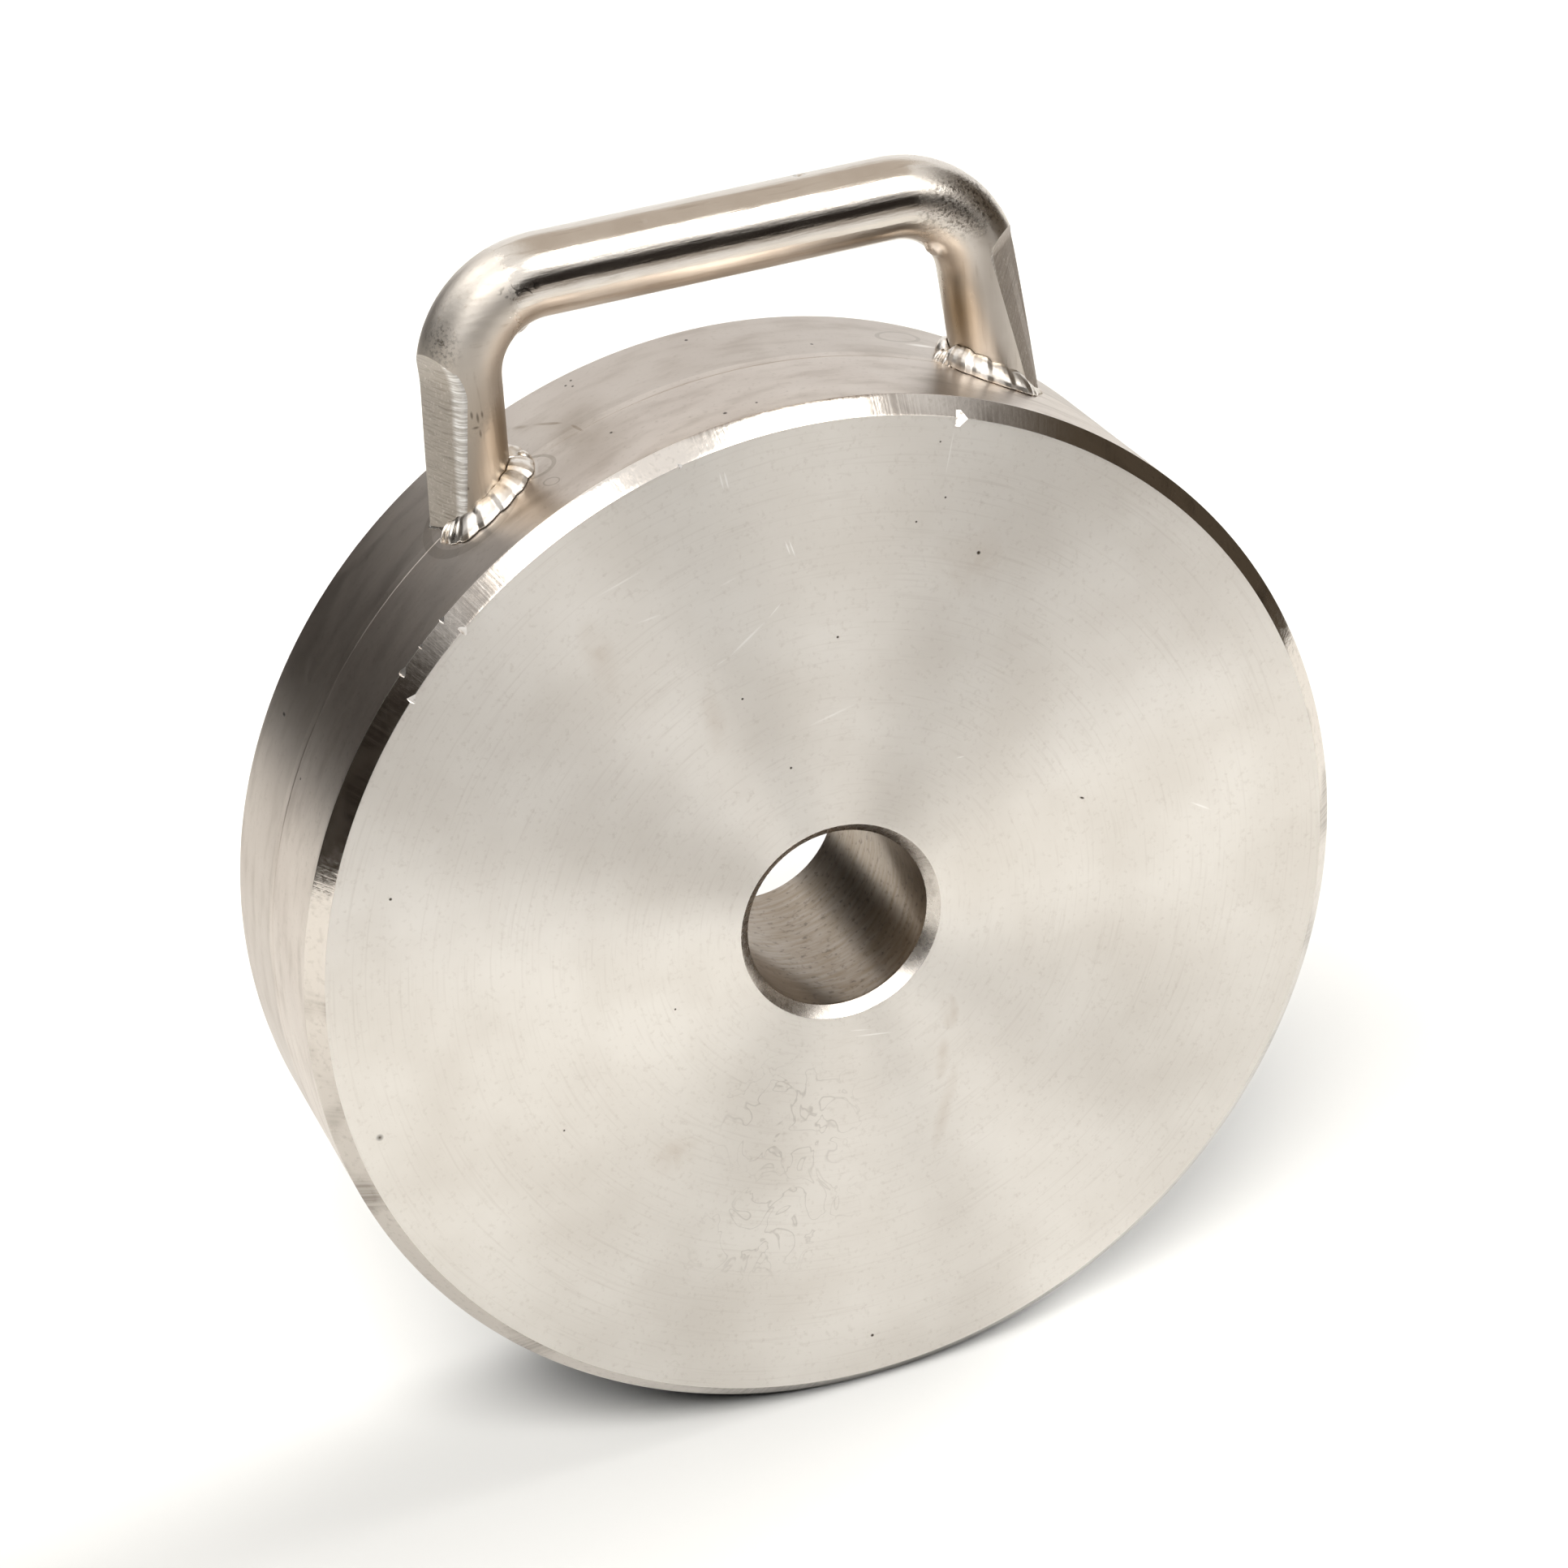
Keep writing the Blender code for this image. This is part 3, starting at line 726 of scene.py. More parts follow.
# Each nick is cut by a wedge whose edge is its bottom. The wedge is so many depths high, and its top
# reaches so many lengths to the gentle side and to the steep one. An edge of the chamfer faces halfway
# between its two sides, at these angles from straight ahead.
WEDGE_HEIGHT = 3
WEDGE_GENTLE_REACH = 3
WEDGE_STEEP_REACH = 0.4
FACE_EDGE_OUT = math.radians(22.5)
RIM_EDGE_OUT = math.radians(67.5)
notches = bmesh.new()
for angle, edge, length, depth, half_width in NICKS:
    turn = Matrix.Rotation(math.radians(angle), 3, "Y")
    if edge == "face":
        corner, out = Vector((0, -HALF_THICKNESS, RIM_RADIUS - RIM_CHAMFER)), FACE_EDGE_OUT
    else:
        corner, out = Vector((0, -HALF_THICKNESS + RIM_CHAMFER, RIM_RADIUS)), RIM_EDGE_OUT
    corner = turn @ corner + Vector((0, 0, AXIS_HEIGHT))
    outward = turn @ Vector((0, -math.cos(out), math.sin(out)))
    along = turn @ Vector((1, 0, 0))
    across = outward.cross(along)
    deepest = corner - outward * depth / 1000
    top = deepest + outward * WEDGE_HEIGHT * depth / 1000
    gentle = top + along * WEDGE_GENTLE_REACH * length / 1000
    steep = top - along * WEDGE_STEEP_REACH * length / 1000
    sides = [across * way * half_width / 1000 for way in (-1, 1)]
    ends = [[notches.verts.new(point + side) for point in (deepest, gentle, steep)] for side in sides]
    for end in ends:
        notches.faces.new(end)
    for i in range(3):
        notches.faces.new([ends[0][i], ends[0][i - 1], ends[1][i - 1], ends[1][i]])
bmesh.ops.recalc_face_normals(notches, faces=notches.faces[:])
knocks = mesh_from(notches, "knocks")
knocks.materials.append(torn_steel)
cut_away(disc, [new_piece("knocks", knocks)])
shaded(disc.data, sharp_degrees=30)

# Every nick has a sharp border, so that its slope doesn't shade the face beside it
torn = disc.data.materials.find(torn_steel.name)
bm = bmesh.new()
bm.from_mesh(disc.data)
for edge in bm.edges:
    if len({face.material_index == torn for face in edge.link_faces}) == 2:
        edge.smooth = False
bm.to_mesh(disc.data)
bm.free()
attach(disc, "root")
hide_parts("weight_disc")

# Handle. One 15 mm round bar of mild steel, bent cold at both corners, its feet coped to the rim, plated
# bright. The outer side of each leg was ground flat by hand before plating.

BAR_DIAMETER = 0.015
HAND_GAP = 0.0168
GRIP_RISE_TO_LEFT = 0.0011
LEG_SPACING_AT_GRIP = 0.096
LEG_SPLAY = math.radians(3.3)
BEND_RADIUS = 0.0165
HANDLE_SET_BACK = 0.0015
SEAT_GAP = 0.0003
BEND_STEPS = 40
RING_SPACING = 0.0006
ROUND_BAR_SIDES = 120
BAR_WAVINESS = 0.00006
BAR_WAVES_PER_METRE = 140.0
FLAT_RUN_OUT_STEPS = 16
FLAT_STEPS_ACROSS = 24
FLAT_ROUNDING_STEPS = 8
# Width over which the painted highlight on a ground flat's front edge fades in
EDGE_HIGHLIGHT_FADE = 0.0012

# Each ground flat: turn to the front, depth at the bend and at the foot, how far it runs past the bend, the
# radius of its end there, the radius to which the stone rolled over its front edge, and the radius of its
# crown
FLATS = {
    -1: (math.radians(19), 0.0031, 0.0020, 0.0125, 0.014, 0.0018, 0.045),
    1: (math.radians(42), 0.0021, 0.0008, 0.0086, 0.006, 0.0006, 0.120),
}

BAR_RADIUS = BAR_DIAMETER / 2
CAD_RIM_RADIUS = 0.100
GRIP_HEIGHT = CAD_RIM_RADIUS + HAND_GAP + BAR_RADIUS
GRIP_SLOPE = math.atan2(GRIP_RISE_TO_LEFT, LEG_SPACING_AT_GRIP)
LEFT, RIGHT = -1, 1
AXIS = Vector((0, 0, AXIS_HEIGHT))


def grip_end(side):
    """The corner where the centre lines of the grip and one leg would meet."""
    height = GRIP_HEIGHT - side * GRIP_RISE_TO_LEFT / 2
    return AXIS + Vector((side * LEG_SPACING_AT_GRIP / 2, HANDLE_SET_BACK, height))


def leg_up(side):
    return Vector((-side * math.sin(LEG_SPLAY), 0, math.cos(LEG_SPLAY)))


def leg_out(side):
    return Vector((side * math.cos(LEG_SPLAY), 0, math.sin(LEG_SPLAY)))


def bend_start(side):
    """The point on a leg's centre line where its bend starts."""
    turn = math.pi / 2 - LEG_SPLAY - side * GRIP_SLOPE
    return grip_end(side) - leg_up(side) * BEND_RADIUS * math.tan(turn / 2)


def on_rim(side, beside, radius):
    """The point on a line beside a leg where it meets a cylinder round the disc's axis."""
    up, start = leg_up(side), bend_start(side) - AXIS + beside
    along = start.x * up.x + start.z * up.z
    height = -along + math.sqrt(along**2 - (start.x**2 + start.z**2 - radius**2))
    return AXIS + start + up * height


def leg_length(side):
    return (bend_start(side) - on_rim(side, Vector(), CAD_RIM_RADIUS)).length


bending, given, result = new_geometry_tree(
    "bend a bar along its corners",
    {
        "Bar Radius": "Float",
        "Bar Sides": "Int",
        "Bend Radius": "Float",
        "Bend Steps": "Int",
        "Ring Spacing": "Float",
        "Waviness": "Float",
        "Material": "Material",
    },
)
centre_line = add(bending, "GeometryNodeMeshToCurve", inputs={"Mesh": given["Geometry"]})
bent = add(
    bending,
    "GeometryNodeFilletCurve",
    {"mode": "POLY"},
    {"Curve": centre_line, "Count": given["Bend Steps"], "Radius": given["Bend Radius"]},
)
bent = add(
    bending,
    "GeometryNodeResampleCurve",
    {"mode": "LENGTH"},
    {"Curve": bent, "Length": given["Ring Spacing"]},
)
ring = add(
    bending,
    "GeometryNodeCurvePrimitiveCircle",
    inputs={"Resolution": given["Bar Sides"], "Radius": given["Bar Radius"]},
)
bar = add(
    bending,
    "GeometryNodeCurveToMesh",
    inputs={"Curve": bent, "Profile Curve": ring, "Fill Caps": True},
)
wave = add(bending, "ShaderNodeTexNoise", inputs={"Scale": BAR_WAVES_PER_METRE, "Detail": 1.0})
sunk = add(bending, "ShaderNodeMath", {"operation": "MULTIPLY"}, [wave, given["Waviness"]])
sunk = add(bending, "ShaderNodeMath", {"operation": "MULTIPLY"}, [sunk, -1.0])
outward = add(bending, "GeometryNodeInputNormal")
inward = add(bending, "ShaderNodeVectorMath", {"operation": "SCALE"}, {0: outward, "Scale": sunk})
bar = add(bending, "GeometryNodeSetPosition", inputs={"Geometry": bar, "Offset": inward})
end_geometry(bending, bar, given, result)

# How far above and below its top a leg's look fades into the grip's, and the stretch of the grip over which
# the left side's look fades into the right's
LEG_TOP = bend_start(LEFT).z
LEG_FADE_ABOVE = 0.010
LEG_FADE_BELOW = 0.006
LEFT_TO_RIGHT = (-0.01, 0.01)


def on_bar(x, y, z, half_x, half_y, half_z, strength):
    """Place, turn, half sizes and strength of a mark on the handle, in millimetres."""
    half_sizes = Vector((half_x / 1000, half_y / 1000, half_z / 1000))
    return Vector((x / 1000, y / 1000, z / 1000)), Matrix.Identity(3), half_sizes, strength


# Where bending opened the skin of the bar, how far it left the bends dull, where the bender nipped a pale
# tab inside the right one, where its jaws left loops and ticks, and where welding browned the legs
STRETCHED = [
    on_bar(-52.5, -3.5, 218.0, 4.0, 6.0, 5.5, 0.5),
    on_bar(46.5, -5.0, 222.5, 12.0, 6.5, 7.5, 1.0),
]
DULL = [
    on_bar(-54.5, -1.0, 222.0, 18.5, 30.0, 26.0, 1.5),
    on_bar(53.0, -1.0, 223.0, 20.0, 30.0, 24.0, 1.5),
]
PALE_TAB = [on_bar(39.9, -1.6, 214.0, 1.4, 2.0, 2.2, 0.9)]
LOOPS = [on_bar(-37.8, -5.8, 225.2, 4.2, 3.0, 1.5, 1.5)]
TICKS = [
    on_bar(-49.5, -6.0, 204.9, 0.3, 1.0, 0.9, 0.8),
    on_bar(-48.5, -6.0, 204.2, 0.3, 1.0, 1.2, 0.8),
    on_bar(-47.6, -5.8, 204.6, 0.3, 1.0, 0.8, 0.7),
    on_bar(-49.1, -6.0, 202.5, 0.8, 1.0, 0.3, 0.7),
    on_bar(-48.4, -6.0, 201.2, 0.3, 1.0, 0.9, 0.7),
    on_bar(-52.1, -5.7, 191.7, 0.4, 1.0, 0.4, 1.0),
]
HEATED = [
    on_bar(42.5, -3.0, 201.0, 5.0, 9.0, 17.0, 0.6),
    on_bar(-44.0, -3.0, 196.0, 4.0, 8.0, 11.0, 0.4),
]


def along_and_across(tree, place, longest, finest):
    """Noise drawn out along the bar, which is X on the grip and Z on the legs. Both scales are per metre."""
    pieces = []
    for stretch in ((longest, finest, finest), (finest, finest, longest)):
        where = add(tree, "ShaderNodeVectorMath", {"operation": "MULTIPLY"}, [place, stretch])
        pieces.append(add(tree, "ShaderNodeTexNoise", inputs={"Vector": where, "Scale": 1.0, "Detail": 3.0}))
    height = add(tree, "ShaderNodeSeparateXYZ", inputs=[place]).outputs["Z"]
    on_leg = add(tree, "ShaderNodeMapRange", {}, [height, LEG_TOP + LEG_FADE_ABOVE, LEG_TOP])
    return add(tree, "ShaderNodeMix", {"data_type": "FLOAT"}, {0: on_leg, 2: pieces[0], 3: pieces[1]})


# Bright nickel over drawn round bar. The drawing die left lines along the bar that fray its highlights.
# Bending left both bends dull, with a ragged border, and opened their skin in dark specks. The legs are
# darker and duller than the grip, the left one most.
bright_bar, tree, shader = new_metal("bright nickel on drawn bar")
place = add(tree, "ShaderNodeTexCoord").outputs["Object"]
split = add(tree, "ShaderNodeSeparateXYZ", inputs=[place]).outputs
drawn = along_and_across(tree, place, 90.0, 1100.0)
cloud = add(tree, "ShaderNodeTexNoise", inputs={"Vector": place, "Scale": 90.0, "Detail": 4.0})
grain = add(tree, "ShaderNodeTexNoise", inputs={"Vector": place, "Scale": 1500.0, "Detail": 3.0})
pits = add(
    tree,
    "ShaderNodeTexNoise",
    inputs={"Vector": place, "Scale": 1500.0, "Detail": 4.0, "Roughness": 0.65},
)
stretched = marked(tree, place, STRETCHED)
on_leg = add(tree, "ShaderNodeMapRange", {}, [split["Z"], LEG_TOP + LEG_FADE_ABOVE, LEG_TOP - LEG_FADE_BELOW])
# The legs' darker tint is whole on the left and a fifth as strong on the right
towards_left = add(tree, "ShaderNodeMapRange", {}, [split["X"], *LEFT_TO_RIGHT, 1.0, 0.2])
duller = add(tree, "ShaderNodeMath", {"operation": "MULTIPLY"}, [on_leg, towards_left])
wander = add(tree, "ShaderNodeTexNoise", inputs={"Vector": place, "Scale": 420.0, "Detail": 1.0})
loops = contours(tree, wander, 0.010, 0.035, 0.8)
looped = add(tree, "ShaderNodeMath", {"operation": "MULTIPLY"}, [loops, marked(tree, place, LOOPS)])
opened = add(tree, "ShaderNodeMapRange", {}, [pits, 0.48, 0.62])
opened = add(tree, "ShaderNodeMath", {"operation": "MULTIPLY"}, [opened, stretched])
colour = layered(
    tree,
    "#E6DED4",
    [
        ("#DCD3C8", cloud, 0.35, 0.65),
        ("#CBBFB0", duller),
        ("#9C8A72", marked(tree, place, HEATED)),
        ("#A3927D", drawn, 0.58, 0.80, 0.0, 0.4),
        ("#7D7368", opened),
        ("#F4F1ED", marked(tree, place, PALE_TAB)),
        ("#5E554B", looped),
        ("#94897C", marked(tree, place, TICKS)),
    ],
)
ragged = add(tree, "ShaderNodeMath", {"operation": "MULTIPLY_ADD"}, [pits, 1.2, marked(tree, place, DULL)])
ragged = add(tree, "ShaderNodeMapRange", {}, [ragged, 0.85, 1.20])
bend_dullness = add(tree, "ShaderNodeMapRange", {}, [split["X"], *LEFT_TO_RIGHT, 0.27, 0.11])
roughness = add(tree, "ShaderNodeMapRange", {}, [drawn, 0.3, 0.7, 0.13, 0.19])
for where, more in ((ragged, bend_dullness), (on_leg, 0.12), (duller, 0.10)):
    roughness = add(tree, "ShaderNodeMath", {"operation": "MULTIPLY_ADD"}, [where, more, roughness])
pitted = add(tree, "ShaderNodeMath", {"operation": "MULTIPLY"}, [pits, stretched])
relief = embossed(tree, [(grain, 0.000012), (drawn, 0.000040), (pitted, 0.000060)])
feed(tree, shader, {"Base Color": colour, "Roughness": roughness, "Normal": relief})


def frontward(side):
    """The way across a ground flat to its front edge."""
    turn = FLATS[side][0]
    return Vector((0, -math.cos(turn), 0)) - leg_out(side) * math.sin(turn)


def ground_steel(name, side, clean, stroke_turn, highlight_from):
    """Nickel over steel ground with a coarse stone: strokes 0.4 mm apart run across the leg, at an angle. A
    painted highlight runs along the front edge, where the stone rolled it over; it starts so far from the
    middle of the flat."""
    material, tree, shader = new_metal(name)
    place = add(tree, "ShaderNodeTexCoord").outputs["Object"]
    inputs = {"Vector": place, "Rotation": (0, stroke_turn, 0)}
    turned = add(tree, "ShaderNodeMapping", {"vector_type": "TEXTURE"}, inputs)
    where = add(tree, "ShaderNodeVectorMath", {"operation": "MULTIPLY"}, [turned, (180.0, 180.0, 2600.0)])
    strokes = add(tree, "ShaderNodeTexNoise", inputs={"Vector": where, "Scale": 1.0, "Detail": 3.0})
    grain = add(tree, "ShaderNodeTexNoise", inputs={"Vector": place, "Scale": 1500.0, "Detail": 2.0})
    from_leg = add(tree, "ShaderNodeVectorMath", {"operation": "SUBTRACT"}, [place, bend_start(side)])
    across = add(tree, "ShaderNodeVectorMath", {"operation": "DOT_PRODUCT"}, [from_leg, frontward(side)])
    across = across.outputs["Value"]
    # A painted highlight: a bright band along the front edge of the flat, broken by the strokes
    edge_highlight = add(tree, "ShaderNodeMapRange", {}, [across, highlight_from, highlight_from + EDGE_HIGHLIGHT_FADE])
    between_strokes = add(tree, "ShaderNodeMapRange", {}, [strokes, 0.35, 0.55, 1.0, 0.3])
    edge_highlight = add(tree, "ShaderNodeMath", {"operation": "MULTIPLY"}, [edge_highlight, between_strokes])
    colour = layered(
        tree,
        clean,
        [
            ("#857B6F", strokes, 0.50, 0.75, 0.0, 0.6),
            ("#F3EEE8", grain, 0.58, 0.80, 0.0, 0.4),
            ("#FFFDFA", edge_highlight),
        ],
    )
    relief = embossed(tree, [(grain, 0.000040), (strokes, 0.000060)])
    feed(
        tree,
        shader,
        {
            "Base Color": colour,
            "Roughness": 0.40,
            "Anisotropic": 0.6,
            "Tangent": add(tree, "ShaderNodeCombineXYZ", inputs={"Z": 1.0}),
            "Normal": relief,
        },
    )
    return material


GROUND = {
    LEFT: ground_steel("nickel on ground flat, left leg", LEFT, "#B4ABA0", 0.0, 0.0032),
    RIGHT: ground_steel("nickel on ground flat, right leg", RIGHT, "#AA9D90", math.radians(-38), 0.0046),
}


def stone(name, side):
    """The stone that grinds one flat. Its inner face is slightly crowned, and its front edge is rounded."""
    turn, at_bend, at_foot, past_bend, end_radius, rounding, crown = FLATS[side]
    normal = leg_out(side) * math.cos(turn) + Vector((0, -math.sin(turn), 0))
    slope = (at_bend - at_foot) / leg_length(side)
    below_foot = leg_length(side) + BAR_DIAMETER
    run_out = past_bend - end_radius
    heights = [(height, BAR_RADIUS - at_bend - slope * height) for height in (-below_foot, run_out)]
    for step in range(1, FLAT_RUN_OUT_STEPS + 1):
        angle = step * math.pi / 2 / FLAT_RUN_OUT_STEPS
        height = run_out + end_radius * math.sin(angle)
        heights.append((height, heights[1][1] + end_radius * (1 - math.cos(angle))))
    bm = bmesh.new()
    sections = []
    for height, depth in heights:
        reach = math.sqrt(max((BAR_RADIUS - rounding) ** 2 - max(depth - rounding, 0) ** 2, 1e-12))
        edge_depth = depth - reach**2 / (2 * crown)
        corner = math.atan2(reach, edge_depth - rounding)
        outline = []
        for step in range(FLAT_STEPS_ACROSS):
            across = -BAR_DIAMETER + (BAR_DIAMETER + reach) * step / (FLAT_STEPS_ACROSS - 1)
            outline.append((across, depth - across**2 / (2 * crown)))
        for step in range(1, FLAT_ROUNDING_STEPS + 1):
            angle = corner * step / FLAT_ROUNDING_STEPS
            out = edge_depth - rounding + rounding * math.cos(angle)
            outline.append((reach + rounding * math.sin(angle), out))
        outline.append((2 * BAR_DIAMETER * math.sin(corner), 2 * BAR_DIAMETER * math.cos(corner)))
        outline.append((2 * BAR_DIAMETER * math.sin(corner), 3 * BAR_DIAMETER))
        outline.append((-BAR_DIAMETER, 3 * BAR_DIAMETER))
        at = bend_start(side) + leg_up(side) * height
        sections.append(
            [bm.verts.new(at + normal * out + frontward(side) * across) for across, out in outline]
        )
    for low, high in zip(sections, sections[1:]):
        for i in range(len(low)):
            bm.faces.new([low[i - 1], low[i], high[i], high[i - 1]])
    bm.faces.new(sections[0])
    bm.faces.new(sections[-1])
    bmesh.ops.recalc_face_normals(bm, faces=bm.faces[:])
    mesh = mesh_from(bm, name)
    mesh.materials.append(GROUND[side])
    return new_piece(name, mesh)


feet = [on_rim(side, Vector(), CAD_RIM_RADIUS) - leg_up(side) * BAR_DIAMETER for side in (LEFT, RIGHT)]
line = bpy.data.meshes.new("handle")
line.from_pydata([feet[0], grip_end(LEFT), grip_end(RIGHT), feet[1]], [(0, 1), (1, 2), (2, 3)], [])
handle = new_piece("handle", line)
use_tree(
    handle,
    bending,
    {
        "Bar Radius": BAR_RADIUS,
        "Bar Sides": ROUND_BAR_SIDES,
        "Bend Radius": BEND_RADIUS,
        "Bend Steps": BEND_STEPS,
        "Ring Spacing": RING_SPACING,
        "Waviness": BAR_WAVINESS,
        "Material": bright_bar,
    },
)
bm = bmesh.new()
bmesh.ops.create_cone(
    bm,
    cap_ends=True,
    segments=ROUND_STEPS,
    radius1=CAD_RIM_RADIUS + SEAT_GAP,
    radius2=CAD_RIM_RADIUS + SEAT_GAP,
    depth=4 * HALF_THICKNESS,
    matrix=Matrix.Translation(AXIS) @ Matrix.Rotation(math.pi / 2, 4, "X"),
)
coping = mesh_from(bm, "coping")
coping.materials.append(bright_bar)
cut_away(handle, [new_piece("coping", coping), stone("left_stone", LEFT), stone("right_stone", RIGHT)])


def inside_bend(side, turn):
    """A point on the inner side of a bend, so many degrees up from the leg, and the way out of the metal."""
    centre = bend_start(side) - leg_out(side) * BEND_RADIUS
    turn = math.radians(turn)
    way = leg_out(side) * math.cos(turn) + leg_up(side) * math.sin(turn)
    return centre + way * (BEND_RADIUS - BAR_RADIUS), -way


# The bender pinched the skin up inside both bends, and the grip has a few knocks: place, way out, height,
# radius
PINCHES = [
    (*inside_bend(LEFT, 30), -0.0011, 0.0030),
    (*inside_bend(LEFT, 58), 0.0006, 0.0024),
    (Vector((0.0399, -0.0016, 0.2140)), Vector((-0.76, -0.30, -0.58)), 0.0008, 0.0023),
]
KNOCKS = [
    (Vector((-0.0136, -0.0019, 0.2311)), Vector((0, -0.45, 0.89)), -0.00012, 0.0010),
    (Vector((0.0174, 0.0022, 0.2315)), Vector((0, 0.1, 1.0)), -0.0004, 0.0010),
]
for centre, way, height, radius in PINCHES + KNOCKS:
    for vertex in handle.data.vertices:
        distance = (vertex.co - centre).length
        if distance < radius:
            vertex.co += way * height * min(1, 2 * (1 - distance / radius))
shaded(handle.data, sharp_degrees=28)
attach(handle, "root")
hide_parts("carry_handle")

# Welds. Each foot is joined to the rim by two runs of fillet weld, one round the front half and one round
# the back. The metal was fed in drops, which froze one over the next as lobes and fine ripples, and was
# plated over.

WELD_TREE_SEED = 7
DROP_SIDES = 32
DROP_RINGS = 20
DROP_LENGTH = 1.0
DROP_WIDTH = 1.15
DROP_HEIGHT = 0.75
DROP_SIZE_SPREAD = 0.02
WELD_GRAIN = 0.00012
WELD_SMOOTHING = 10
FRONT, BACK = -1, 1

# At the outer side of each foot a run thins out: its least and its full share of the size of the plain
# bead, and the two angles between which it grows
THIN_TO_WHOLE = {
    "left_front": (0.20, 0.80, math.radians(25), math.radians(55)),
    "left_back": (0.10, 0.80, math.radians(75), math.radians(105)),
    "right_front": (0.30, 0.90, math.radians(45), math.radians(75)),
    "right_back": (0.30, 0.80, math.radians(45), math.radians(75)),
}

# Each run's drops: angle round the foot from its outer side, distance out from the bar's wall, height above
# the rim, half width, lean back along the run and half length as a share of the half width, in degrees and
# millimetres
EVEN_RUN = [(angle, 0.6, 0.6, 1.8, 8, 1.0) for angle in range(96, 178, 14)]
RUNS = {
    "left_front": [
        (33, 1.0, 0.2, 2.0, 0, 0.26),
        (41, 1.1, 0.3, 2.1, 0, 0.26),
        (49, 1.2, 0.4, 2.2, 0, 0.26),
        (58, 1.2, 0.4, 2.2, 0, 0.28),
        (70, 1.1, 0.5, 2.0, 0, 0.75),
        (90, 1.1, 0.5, 2.3, 0, 0.85),
        (108, 1.0, 0.6, 2.1, 0, 0.85),
        (121, 1.0, 0.5, 2.0, 0, 0.90),
        (134, 1.1, 0.4, 1.9, 0, 0.95),
        (148, 1.6, 0.3, 1.3, 0, 1.00),
        (157, 2.6, 0.4, 1.4, 0, 1.00),
        (165, 1.5, 1.0, 1.2, 0, 1.00),
        (172, 2.8, 0.9, 1.3, 0, 1.00),
    ],
    "right_front": [
        (180, 2.9, 0.0, 1.9, -35, 0.30),
        (175, 2.4, 0.1, 2.1, -35, 0.30),
        (169, 2.0, 0.3, 2.2, -35, 0.30),
        (163, 1.6, 0.5, 2.2, -35, 0.30),
        (156, 1.2, 0.7, 2.2, -30, 0.32),
        (148, 0.9, 0.9, 2.1, -20, 0.50),
        *[(angle, 0.8, 1.0, 2.0, 0, 1.10) for angle in range(140, 98, -6)],
        (98, 0.8, 1.0, 1.9, 0, 1.10),
        *[(angle, 0.1, 2.9, 0.7, 30, 0.50) for angle in (117, 112, 107)],
        (102, 0.1, 2.8, 0.7, 30, 0.50),
        (97, 0.1, 2.8, 0.7, 30, 0.50),
        (91, 0.1, 2.7, 0.7, 30, 0.50),
        (87, 0.9, 0.8, 1.8, 20, 0.40),
        (79, 0.9, 0.7, 1.7, 20, 0.40),
        (71, 0.9, 0.6, 1.6, 20, 0.40),
        (62, 0.8, 0.4, 1.5, 20, 0.40),
        (52, 0.6, 0.3, 1.2, 10, 0.60),
    ],
    "left_back": EVEN_RUN,
    "right_back": EVEN_RUN,
}

# What each drop's point holds, for the tree to read
DROP_VALUES = {
    "drop_size": "FLOAT",
    "drop_length": "FLOAT",
    "lean": "FLOAT",
    "face_way": "FLOAT_VECTOR",
    "run_way": "FLOAT_VECTOR",
}

laying, given, result = new_geometry_tree(
    "lay drops of weld",
    {
        "Drop Length": "Float",
        "Drop Width": "Float",
        "Drop Height": "Float",
        "Size Spread": "Float",
        "Seed": "Int",
        "Material": "Material",
    },
)
stored = {
    name: add(laying, "GeometryNodeInputNamedAttribute", {"data_type": kind}, {"Name": name})
    for name, kind in DROP_VALUES.items()
}
length = add(
    laying, "ShaderNodeMath", {"operation": "MULTIPLY"}, [given["Drop Length"], stored["drop_length"]]
)
seat = add(
    laying,
    "FunctionNodeAxesToRotation",
    {"primary_axis": "Z", "secondary_axis": "X"},
    {"Primary Axis": stored["face_way"], "Secondary Axis": stored["run_way"]},
)
lean = add(laying, "ShaderNodeCombineXYZ", inputs={"Y": stored["lean"]})
lean = add(laying, "FunctionNodeEulerToRotation", inputs={"Euler": lean})
leaning = add(
    laying,
    "FunctionNodeRotateRotation",
    {"rotation_space": "LOCAL"},
    {"Rotation": seat, "Rotate By": lean},
)
least = add(laying, "ShaderNodeMath", {"operation": "SUBTRACT"}, [1.0, given["Size Spread"]])
most = add(laying, "ShaderNodeMath", {"operation": "ADD"}, [1.0, given["Size Spread"]])
chance = add(
    laying,
    "FunctionNodeRandomValue",
    {"data_type": "FLOAT"},
    {2: least, 3: most, "Seed": given["Seed"]},
)
scaled = add(laying, "ShaderNodeMath", {"operation": "MULTIPLY"}, [stored["drop_size"], chance])
shape = add(
    laying,
    "ShaderNodeCombineXYZ",
    inputs={"X": length, "Y": given["Drop Width"], "Z": given["Drop Height"]},
)
shape = add(laying, "ShaderNodeVectorMath", {"operation": "SCALE"}, {0: shape, "Scale": scaled})
drop_inputs = {"Segments": DROP_SIDES, "Rings": DROP_RINGS, "Radius": 1.0}
drop = add(laying, "GeometryNodeMeshUVSphere", inputs=drop_inputs)
is_drop = add(laying, "FunctionNodeCompare", {"operation": "GREATER_THAN"}, [stored["drop_size"], 0.0])
drops = add(
    laying,
    "GeometryNodeInstanceOnPoints",
    inputs={
        "Points": given["Geometry"],
        "Selection": is_drop,
        "Instance": drop,
        "Rotation": leaning,
        "Scale": shape,
    },
)
joined = laying.nodes.new("GeometryNodeJoinGeometry")
laying.links.new(drops.outputs[0], joined.inputs[0])
laying.links.new(given["Geometry"], joined.inputs[0])
end_geometry(laying, joined, given, result)

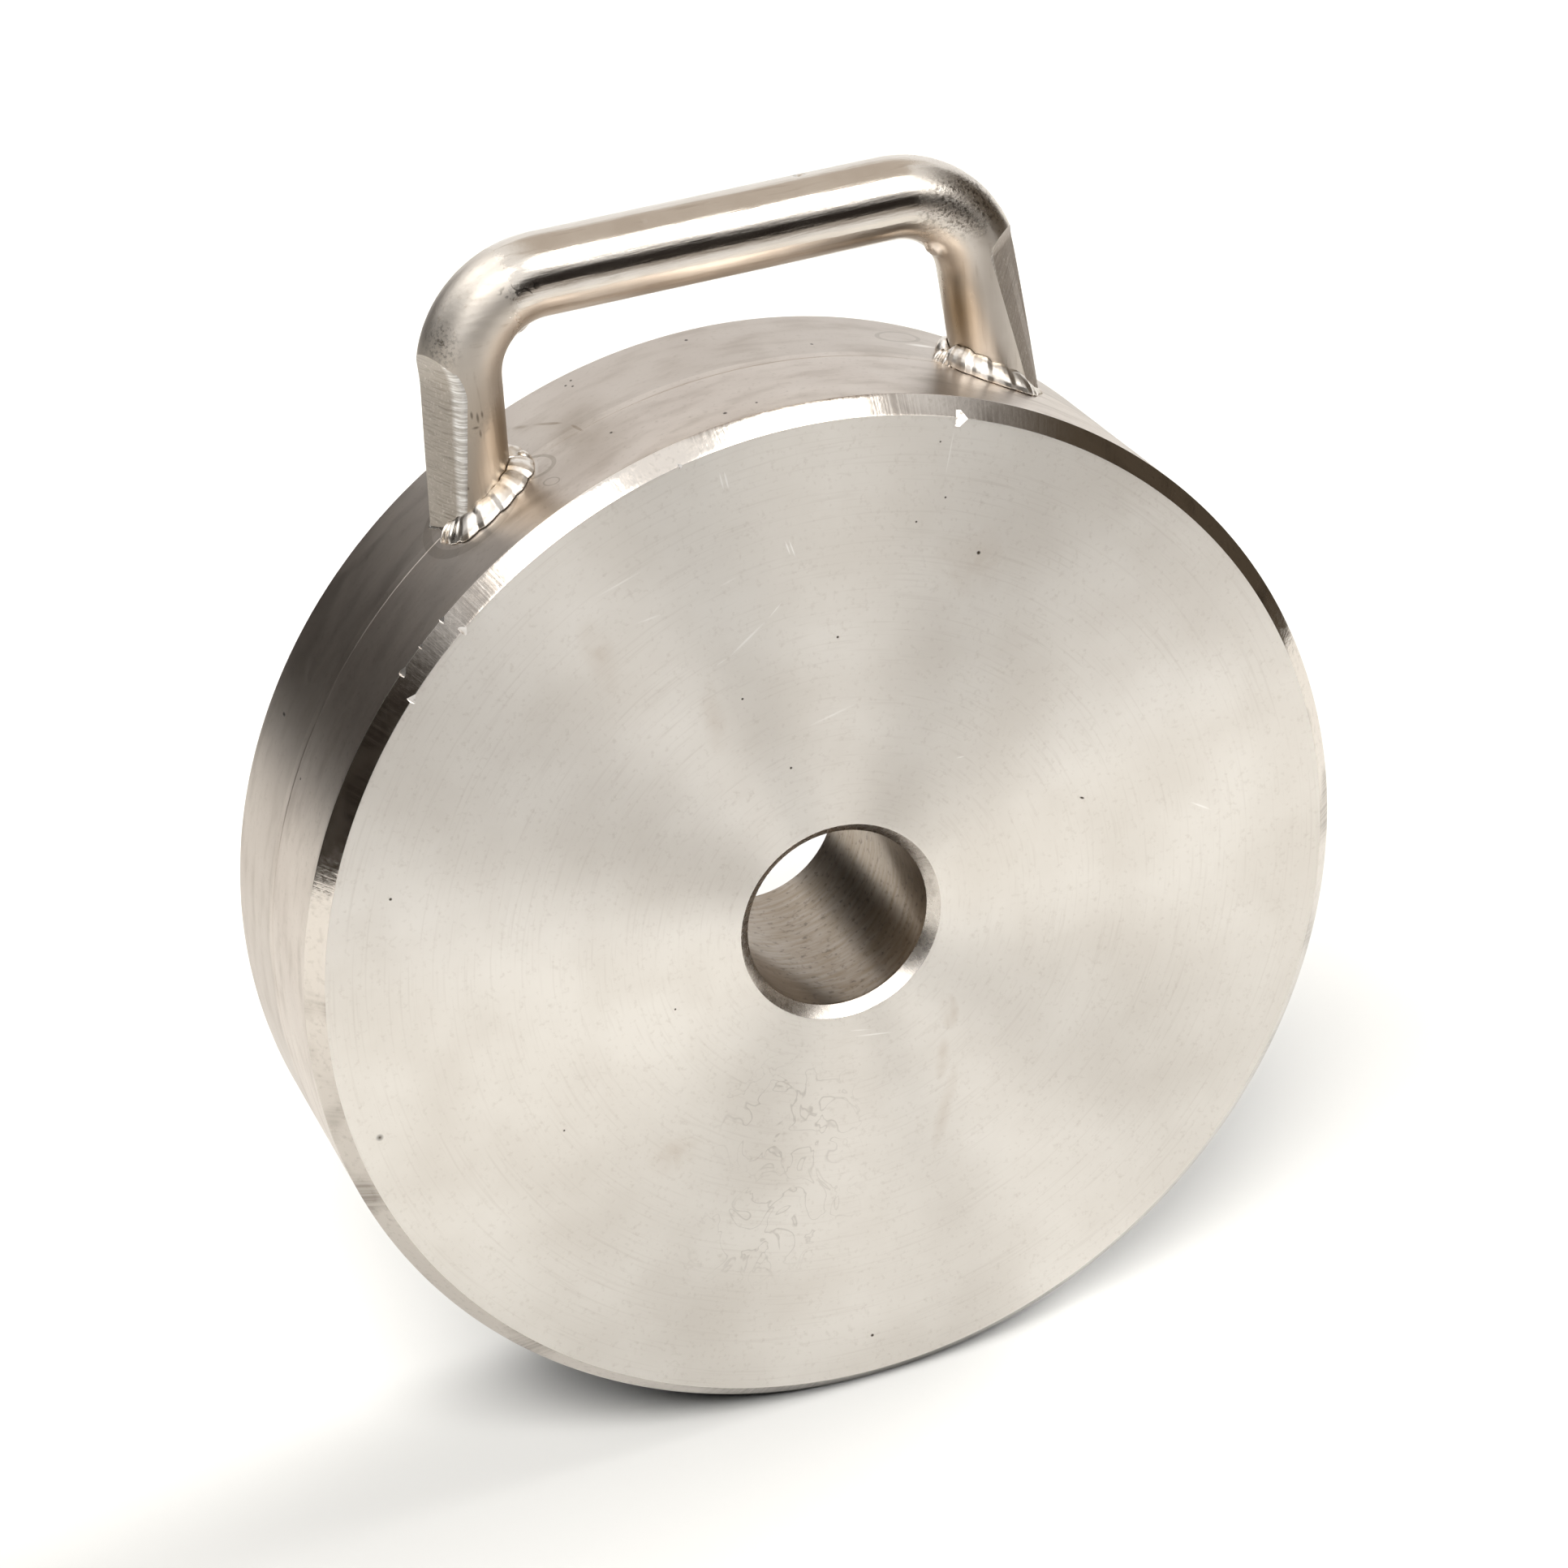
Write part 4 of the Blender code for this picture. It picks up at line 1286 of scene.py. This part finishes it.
# Bright nickel over weld metal as it froze: smooth, satin skin with brown traces of heat in patches.
plated_weld, tree, shader = new_metal("bright nickel on weld")
place = add(tree, "ShaderNodeTexCoord").outputs["Object"]
cloud = add(tree, "ShaderNodeTexNoise", inputs={"Vector": place, "Scale": 350.0, "Detail": 4.0})
grain = add(tree, "ShaderNodeTexNoise", inputs={"Vector": place, "Scale": 1500.0, "Detail": 2.0})
colour = layered(tree, "#F0E9E0", [("#B5A48F", cloud, 0.52, 0.78)])
feed(
    tree,
    shader,
    {
        "Base Color": colour,
        "Roughness": add(tree, "ShaderNodeMapRange", {}, [cloud, 0.3, 0.7, 0.26, 0.36]),
        "Normal": embossed(tree, [(grain, 0.000015)]),
    },
)


def wall(side, facing, turn):
    """How far a foot's wall, flat or round, is from the bar's middle at an angle from its outer side."""
    flat_turn, _, at_foot = FLATS[side][:3]
    from_flat = math.cos(turn - flat_turn * -facing)
    return min(BAR_RADIUS, (BAR_RADIUS - at_foot) / from_flat) if from_flat > 0.1 else BAR_RADIUS


for name, run in RUNS.items():
    side = LEFT if name.startswith("left") else RIGHT
    facing = FRONT if name.endswith("front") else BACK
    node = "weld_" + name
    least, full, thin_until, whole_from = THIN_TO_WHOLE[name]

    # The root of the run fills the corner under the drops, and closes on the bar and the rim
    bm = bmesh.new()
    bm.from_mesh(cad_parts[node].data)
    bmesh.ops.remove_doubles(bm, verts=bm.verts[:], dist=1e-6)
    bmesh.ops.recalc_face_normals(bm, faces=bm.faces[:])
    bm.normal_update()
    for vertex in bm.verts:
        vertex.co += vertex.normal * SEAT_GAP
        beside = vertex.co - bend_start(side)
        turn = math.atan2(beside.y * facing, beside.dot(leg_out(side)))
        share = least + (full - least) * min(max((turn - thin_until) / (whole_from - thin_until), 0), 1)
        way = leg_out(side) * math.cos(turn) + Vector((0, facing * math.sin(turn), 0))
        root = on_rim(side, way * wall(side, facing, turn), CAD_RIM_RADIUS)
        vertex.co = root + (vertex.co - root) * share
    layers = {value: getattr(bm.verts.layers, kind.lower()).new(value) for value, kind in DROP_VALUES.items()}
    for angle, out, height, half_width, lean_back, half_length in run:
        turn = math.radians(angle)
        way = leg_out(side) * math.cos(turn) + Vector((0, facing * math.sin(turn), 0))
        along = leg_out(side) * -math.sin(turn) + Vector((0, facing * math.cos(turn), 0))
        root = on_rim(side, way * (wall(side, facing, turn) + out / 1000), CAD_RIM_RADIUS)
        vertex = bm.verts.new(root + leg_up(side) * height / 1000)
        vertex[layers["drop_size"]] = half_width / 1000
        vertex[layers["drop_length"]] = half_length
        vertex[layers["lean"]] = math.radians(lean_back)
        vertex[layers["face_way"]] = (way + leg_up(side)).normalized()
        vertex[layers["run_way"]] = along
    bead = new_piece("bead_" + name, mesh_from(bm, "bead_" + name))
    use_tree(
        bead,
        laying,
        {
            "Drop Length": DROP_LENGTH,
            "Drop Width": DROP_WIDTH,
            "Drop Height": DROP_HEIGHT,
            "Size Spread": DROP_SIZE_SPREAD,
            "Seed": WELD_TREE_SEED,
            "Material": plated_weld,
        },
    )
    melt = bead.modifiers.new("melt together", "REMESH")
    melt.mode = "VOXEL"
    melt.voxel_size = WELD_GRAIN
    soften = bead.modifiers.new("soften", "SMOOTH")
    soften.iterations = WELD_SMOOTHING
    made_plain(bead)
    shaded(bead.data, sharp_degrees=180)
    bead.data.materials.clear()
    bead.data.materials.append(plated_weld)
    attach(bead, "root")
    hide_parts(node)
